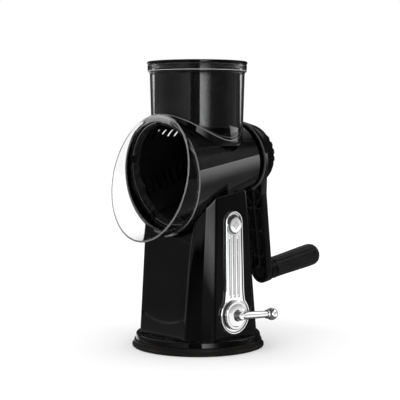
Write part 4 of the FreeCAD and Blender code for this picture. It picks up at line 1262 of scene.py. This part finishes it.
# ---------------------------------------------------------------- floor
fl = grid("floor", np.array([[(r * math.cos(t), r * math.sin(t), -0.25) for r in (0.001, 90, 140, 300, 1200, 4000)] for t in 2 * math.pi * np.arange(96) / 96]), True, False)
fl.data.transform(Matrix.Scale(0.001, 4))
fm, nt, p = new_mat("floor_white")
co = object_coord(nt)
nt.links.new(mixc(nt, noise(nt, co, 5.0, 3.0), (0.93, 0.93, 0.93), (0.95, 0.95, 0.95)), p.inputs["Base Color"])
p.inputs["Roughness"].default_value = 0.9
p.inputs["Specular IOR Level"].default_value = 0.0
fl.data.materials.append(fm)
fl.visible_glossy = False

# ---------------------------------------------------------------- soft studio light
# a low softbox beside the barrel, brightest along its top edge
AZL = math.radians(157.0)
ld_ = bpy.data.lights.new("side_softbox", "AREA")
ld_.shape, ld_.size, ld_.size_y, ld_.energy = "RECTANGLE", 0.125, 0.110, math.pi * 0.125 * 0.110
lo_ = bpy.data.objects.new("side_softbox", ld_)
S.collection.objects.link(lo_)
lo_.matrix_world = Matrix(((math.cos(AZL), 0, math.sin(AZL), 0.230 * math.sin(AZL) - 0.040 * math.cos(AZL)), (math.sin(AZL), 0, -math.cos(AZL), -0.230 * math.cos(AZL) - 0.040 * math.sin(AZL)), (0, 1, 0, 0.1655), (0, 0, 0, 1)))
lo_.visible_camera = False
lo_.visible_diffuse = False
ld_.use_nodes = True
ln = ld_.node_tree
em_ = ln.nodes["Emission"]
lg = ln.nodes.new("ShaderNodeNewGeometry")
lx = ln.nodes.new("ShaderNodeSeparateXYZ")
lr = ln.nodes.new("ShaderNodeValToRGB")
lm = ln.nodes.new("ShaderNodeMapRange")
lm.inputs["From Min"].default_value, lm.inputs["From Max"].default_value = 0.1105, 0.2205
ln.links.new(lg.outputs["Position"], lx.inputs["Vector"])
ln.links.new(lx.outputs["Z"], lm.inputs["Value"])
ln.links.new(lm.outputs["Result"], lr.inputs["Fac"])
for i_, (t_, c_) in enumerate([(0.0, 0.01), (0.22, 0.12), (0.45, 0.55), (0.68, 1.15), (1.0, 1.9)]):
    el_ = lr.color_ramp.elements[i_] if i_ < 2 else lr.color_ramp.elements.new(t_)
    el_.position = t_
    el_.color = (c_, c_, c_, 1.0)
ln.links.new(lr.outputs["Color"], em_.inputs["Color"])
# a large softbox that only the plated pieces pick up
bright = bpy.data.collections.new("plated")
for ob_ in list(S.objects):
    if ob_.type == "MESH" and ob_.name in ("side_trim_chrome", "release_button_cap", "suction_lever_chrome"):
        bright.objects.link(ob_)
cb_ = bpy.data.lights.new("plate_softbox", "AREA")
cb_.shape, cb_.size, cb_.size_y, cb_.energy = "RECTANGLE", 2.1, 1.5, math.pi * 2.1 * 1.5
co_ = bpy.data.objects.new("plate_softbox", cb_)
S.collection.objects.link(co_)
AZC = math.radians(124.0)
co_.matrix_world = Matrix(((math.cos(AZC), 0, math.sin(AZC), 0.8 * math.sin(AZC)), (math.sin(AZC), 0, -math.cos(AZC), -0.8 * math.cos(AZC)), (0, 1, 0, 0.22), (0, 0, 0, 1)))
co_.visible_camera = False
co_.light_linking.receiver_collection = bright
cb_.use_nodes = True
cn_ = cb_.node_tree
cg_ = cn_.nodes.new("ShaderNodeNewGeometry")
cx_ = cn_.nodes.new("ShaderNodeSeparateXYZ")
cr_ = cn_.nodes.new("ShaderNodeValToRGB")
cm_ = cn_.nodes.new("ShaderNodeMapRange")
cm_.inputs["From Min"].default_value, cm_.inputs["From Max"].default_value = -0.33, 0.77   # metres above the floor
cn_.links.new(cg_.outputs["Position"], cx_.inputs["Vector"])
cn_.links.new(cx_.outputs["Z"], cm_.inputs["Value"])
cn_.links.new(cm_.outputs["Result"], cr_.inputs["Fac"])
for i_, (t_, c_) in enumerate([(0.0, 0.95), (0.30, 0.95), (0.36, 0.62), (0.55, 0.34), (0.60, 0.30), (0.72, 1.0), (1.0, 1.0)]):
    el_ = cr_.color_ramp.elements[i_] if i_ < 2 else cr_.color_ramp.elements.new(t_)
    el_.position = t_
    el_.color = (c_, c_, c_, 1.0)
cn_.links.new(cr_.outputs["Color"], cn_.nodes["Emission"].inputs["Color"])
W = bpy.data.worlds.new("studio")
S.world = W
W.use_nodes = True
nt = W.node_tree
nt.nodes.clear()
out = nt.nodes.new("ShaderNodeOutputWorld")
bg = nt.nodes.new("ShaderNodeBackground")
nt.links.new(bg.outputs[0], out.inputs["Surface"])
tc = nt.nodes.new("ShaderNodeTexCoord")
sep = nt.nodes.new("ShaderNodeSeparateXYZ")
nt.links.new(tc.outputs["Generated"], sep.inputs[0])


def mth(op, a, b=None, c=None):
    n = nt.nodes.new("ShaderNodeMath"); n.operation = op
    for i, v in enumerate((a, b, c)):
        if v is None: continue
        if isinstance(v, (int, float)): n.inputs[i].default_value = v
        else: nt.links.new(v, n.inputs[i])
    return n.outputs[0]


ny = mth("MULTIPLY", sep.outputs["Y"], -1.0)
az = mth("MULTIPLY", mth("ARCTAN2", sep.outputs["X"], ny), 180.0 / math.pi)
el = mth("MULTIPLY", mth("ARCSINE", sep.outputs["Z"]), 180.0 / math.pi)
SC = 8.0


def az_ramp(stops):
    """Brightness by compass direction, degrees to radiance."""
    f = mth("ADD", mth("MULTIPLY", az, 1 / 360.0), 0.5)
    r = nt.nodes.new("ShaderNodeValToRGB")
    r.color_ramp.interpolation = "LINEAR"
    nt.links.new(f, r.inputs[0])
    els = r.color_ramp.elements
    for i, (a, v) in enumerate(stops):
        pos = a / 360.0 + 0.5
        e = els[i] if i < 2 else els.new(pos)
        e.position = pos
    for e, (a, v) in zip(sorted(els, key=lambda q: q.position), stops):
        e.color = (v / SC, v / SC, v / SC, 1)
    return r.outputs[0]


LOWB = [(-180, 0.03), (-140, 0.02), (-120, 0.03), (-100, 0.06), (-60, 0.12), (-35, 0.10), (-22, 0.08), (0, 0.13), (30, 0.27), (32, 0.0), (54.5, 0.04), (56.0, 2.9), (60, 2.4), (66, 1.9), (72, 1.2), (79, 0.35), (86, 0.06), (100, 0.03),
        (124, 0.03), (134, 0.08), (154.0, 0.08), (157.0, 0.22), (163, 0.10), (180, 0.02)]
LOWC = [(-180, 0.02), (-132, 0.02), (-120, 1.0), (-98, 1.0), (-86, 0.1), (-60, 0.28), (-35, 0.28), (0, 0.12), (30, 0.2), (32, 0.06), (54.0, 0.06), (56.0, 0.16), (66, 0.13), (74, 0.12), (84, 0.05), (124, 0.05), (131, 0.14), (140, 0.12), (154.0, 0.25), (161, 0.1), (180, 0.0)]
HIGH = [(-180, 0.1), (-150, 0.5), (-115, 0.5), (-80, 0.3), (-35, 0.3), (0, 0.03), (60, 0.05), (90, 0.04), (150, 0.03), (180, 0.05)]
DOWN = [(-180, 0.06), (-120, 0.08), (-60, 0.06), (0, 0.06), (60, 0.12), (90, 0.05), (150, 0.12), (180, 0.15)]
lowc, lowc2, highc, downc = az_ramp(LOWB), az_ramp(LOWC), az_ramp(HIGH), az_ramp(DOWN)
low_w = mrange(nt, el, -3.2, -5.6, 0.0, 1.0)
lo_w = mrange(nt, el, -12.0, -17.0, 0.0, 1.0)
hi_w = mrange(nt, el, 20.0, 26.0, 0.0, 1.0)
top_w = mrange(nt, el, 70.0, 80.0, 0.0, 1.0)


def mixcol(f, a, b):
    n = nt.nodes.new("ShaderNodeMix"); n.data_type = "RGBA"
    A = [i for i in n.inputs if i.name == "A" and i.type == "RGBA"][0]
    B = [i for i in n.inputs if i.name == "B" and i.type == "RGBA"][0]
    for s, v in ((A, a), (B, b)):
        if isinstance(v, tuple): s.default_value = v
        else: nt.links.new(v, s)
    nt.links.new(f, n.inputs["Factor"])
    return [o for o in n.outputs if o.type == "RGBA"][0]


pan = mixcol(hi_w, mixcol(low_w, lowc, lowc2), highc)
pan = mixcol(lo_w, pan, downc)
pan = mixcol(top_w, pan, (0.12 / SC, 0.12 / SC, 0.12 / SC, 1))
sc = nt.nodes.new("ShaderNodeVectorMath"); sc.operation = "SCALE"
sc.inputs["Scale"].default_value = SC
nt.links.new(pan, sc.inputs[0])
lp = nt.nodes.new("ShaderNodeLightPath")
gl = mth("GREATER_THAN", lp.outputs["Glossy Depth"], 0.5)
df = mth("GREATER_THAN", lp.outputs["Diffuse Depth"], 0.5)
base = mixcol(df, (1, 1, 1, 1), (1.22, 1.22, 1.22, 1))
fin = mixcol(gl, base, sc.outputs[0])
nt.links.new(fin, bg.inputs["Color"])
bg.inputs["Strength"].default_value = 1.0
W.cycles.sampling_method = "NONE"
S.view_settings.view_transform = "Standard"
S.view_settings.look = "None"

for r in REPORT:
    print("PIECE", *r)
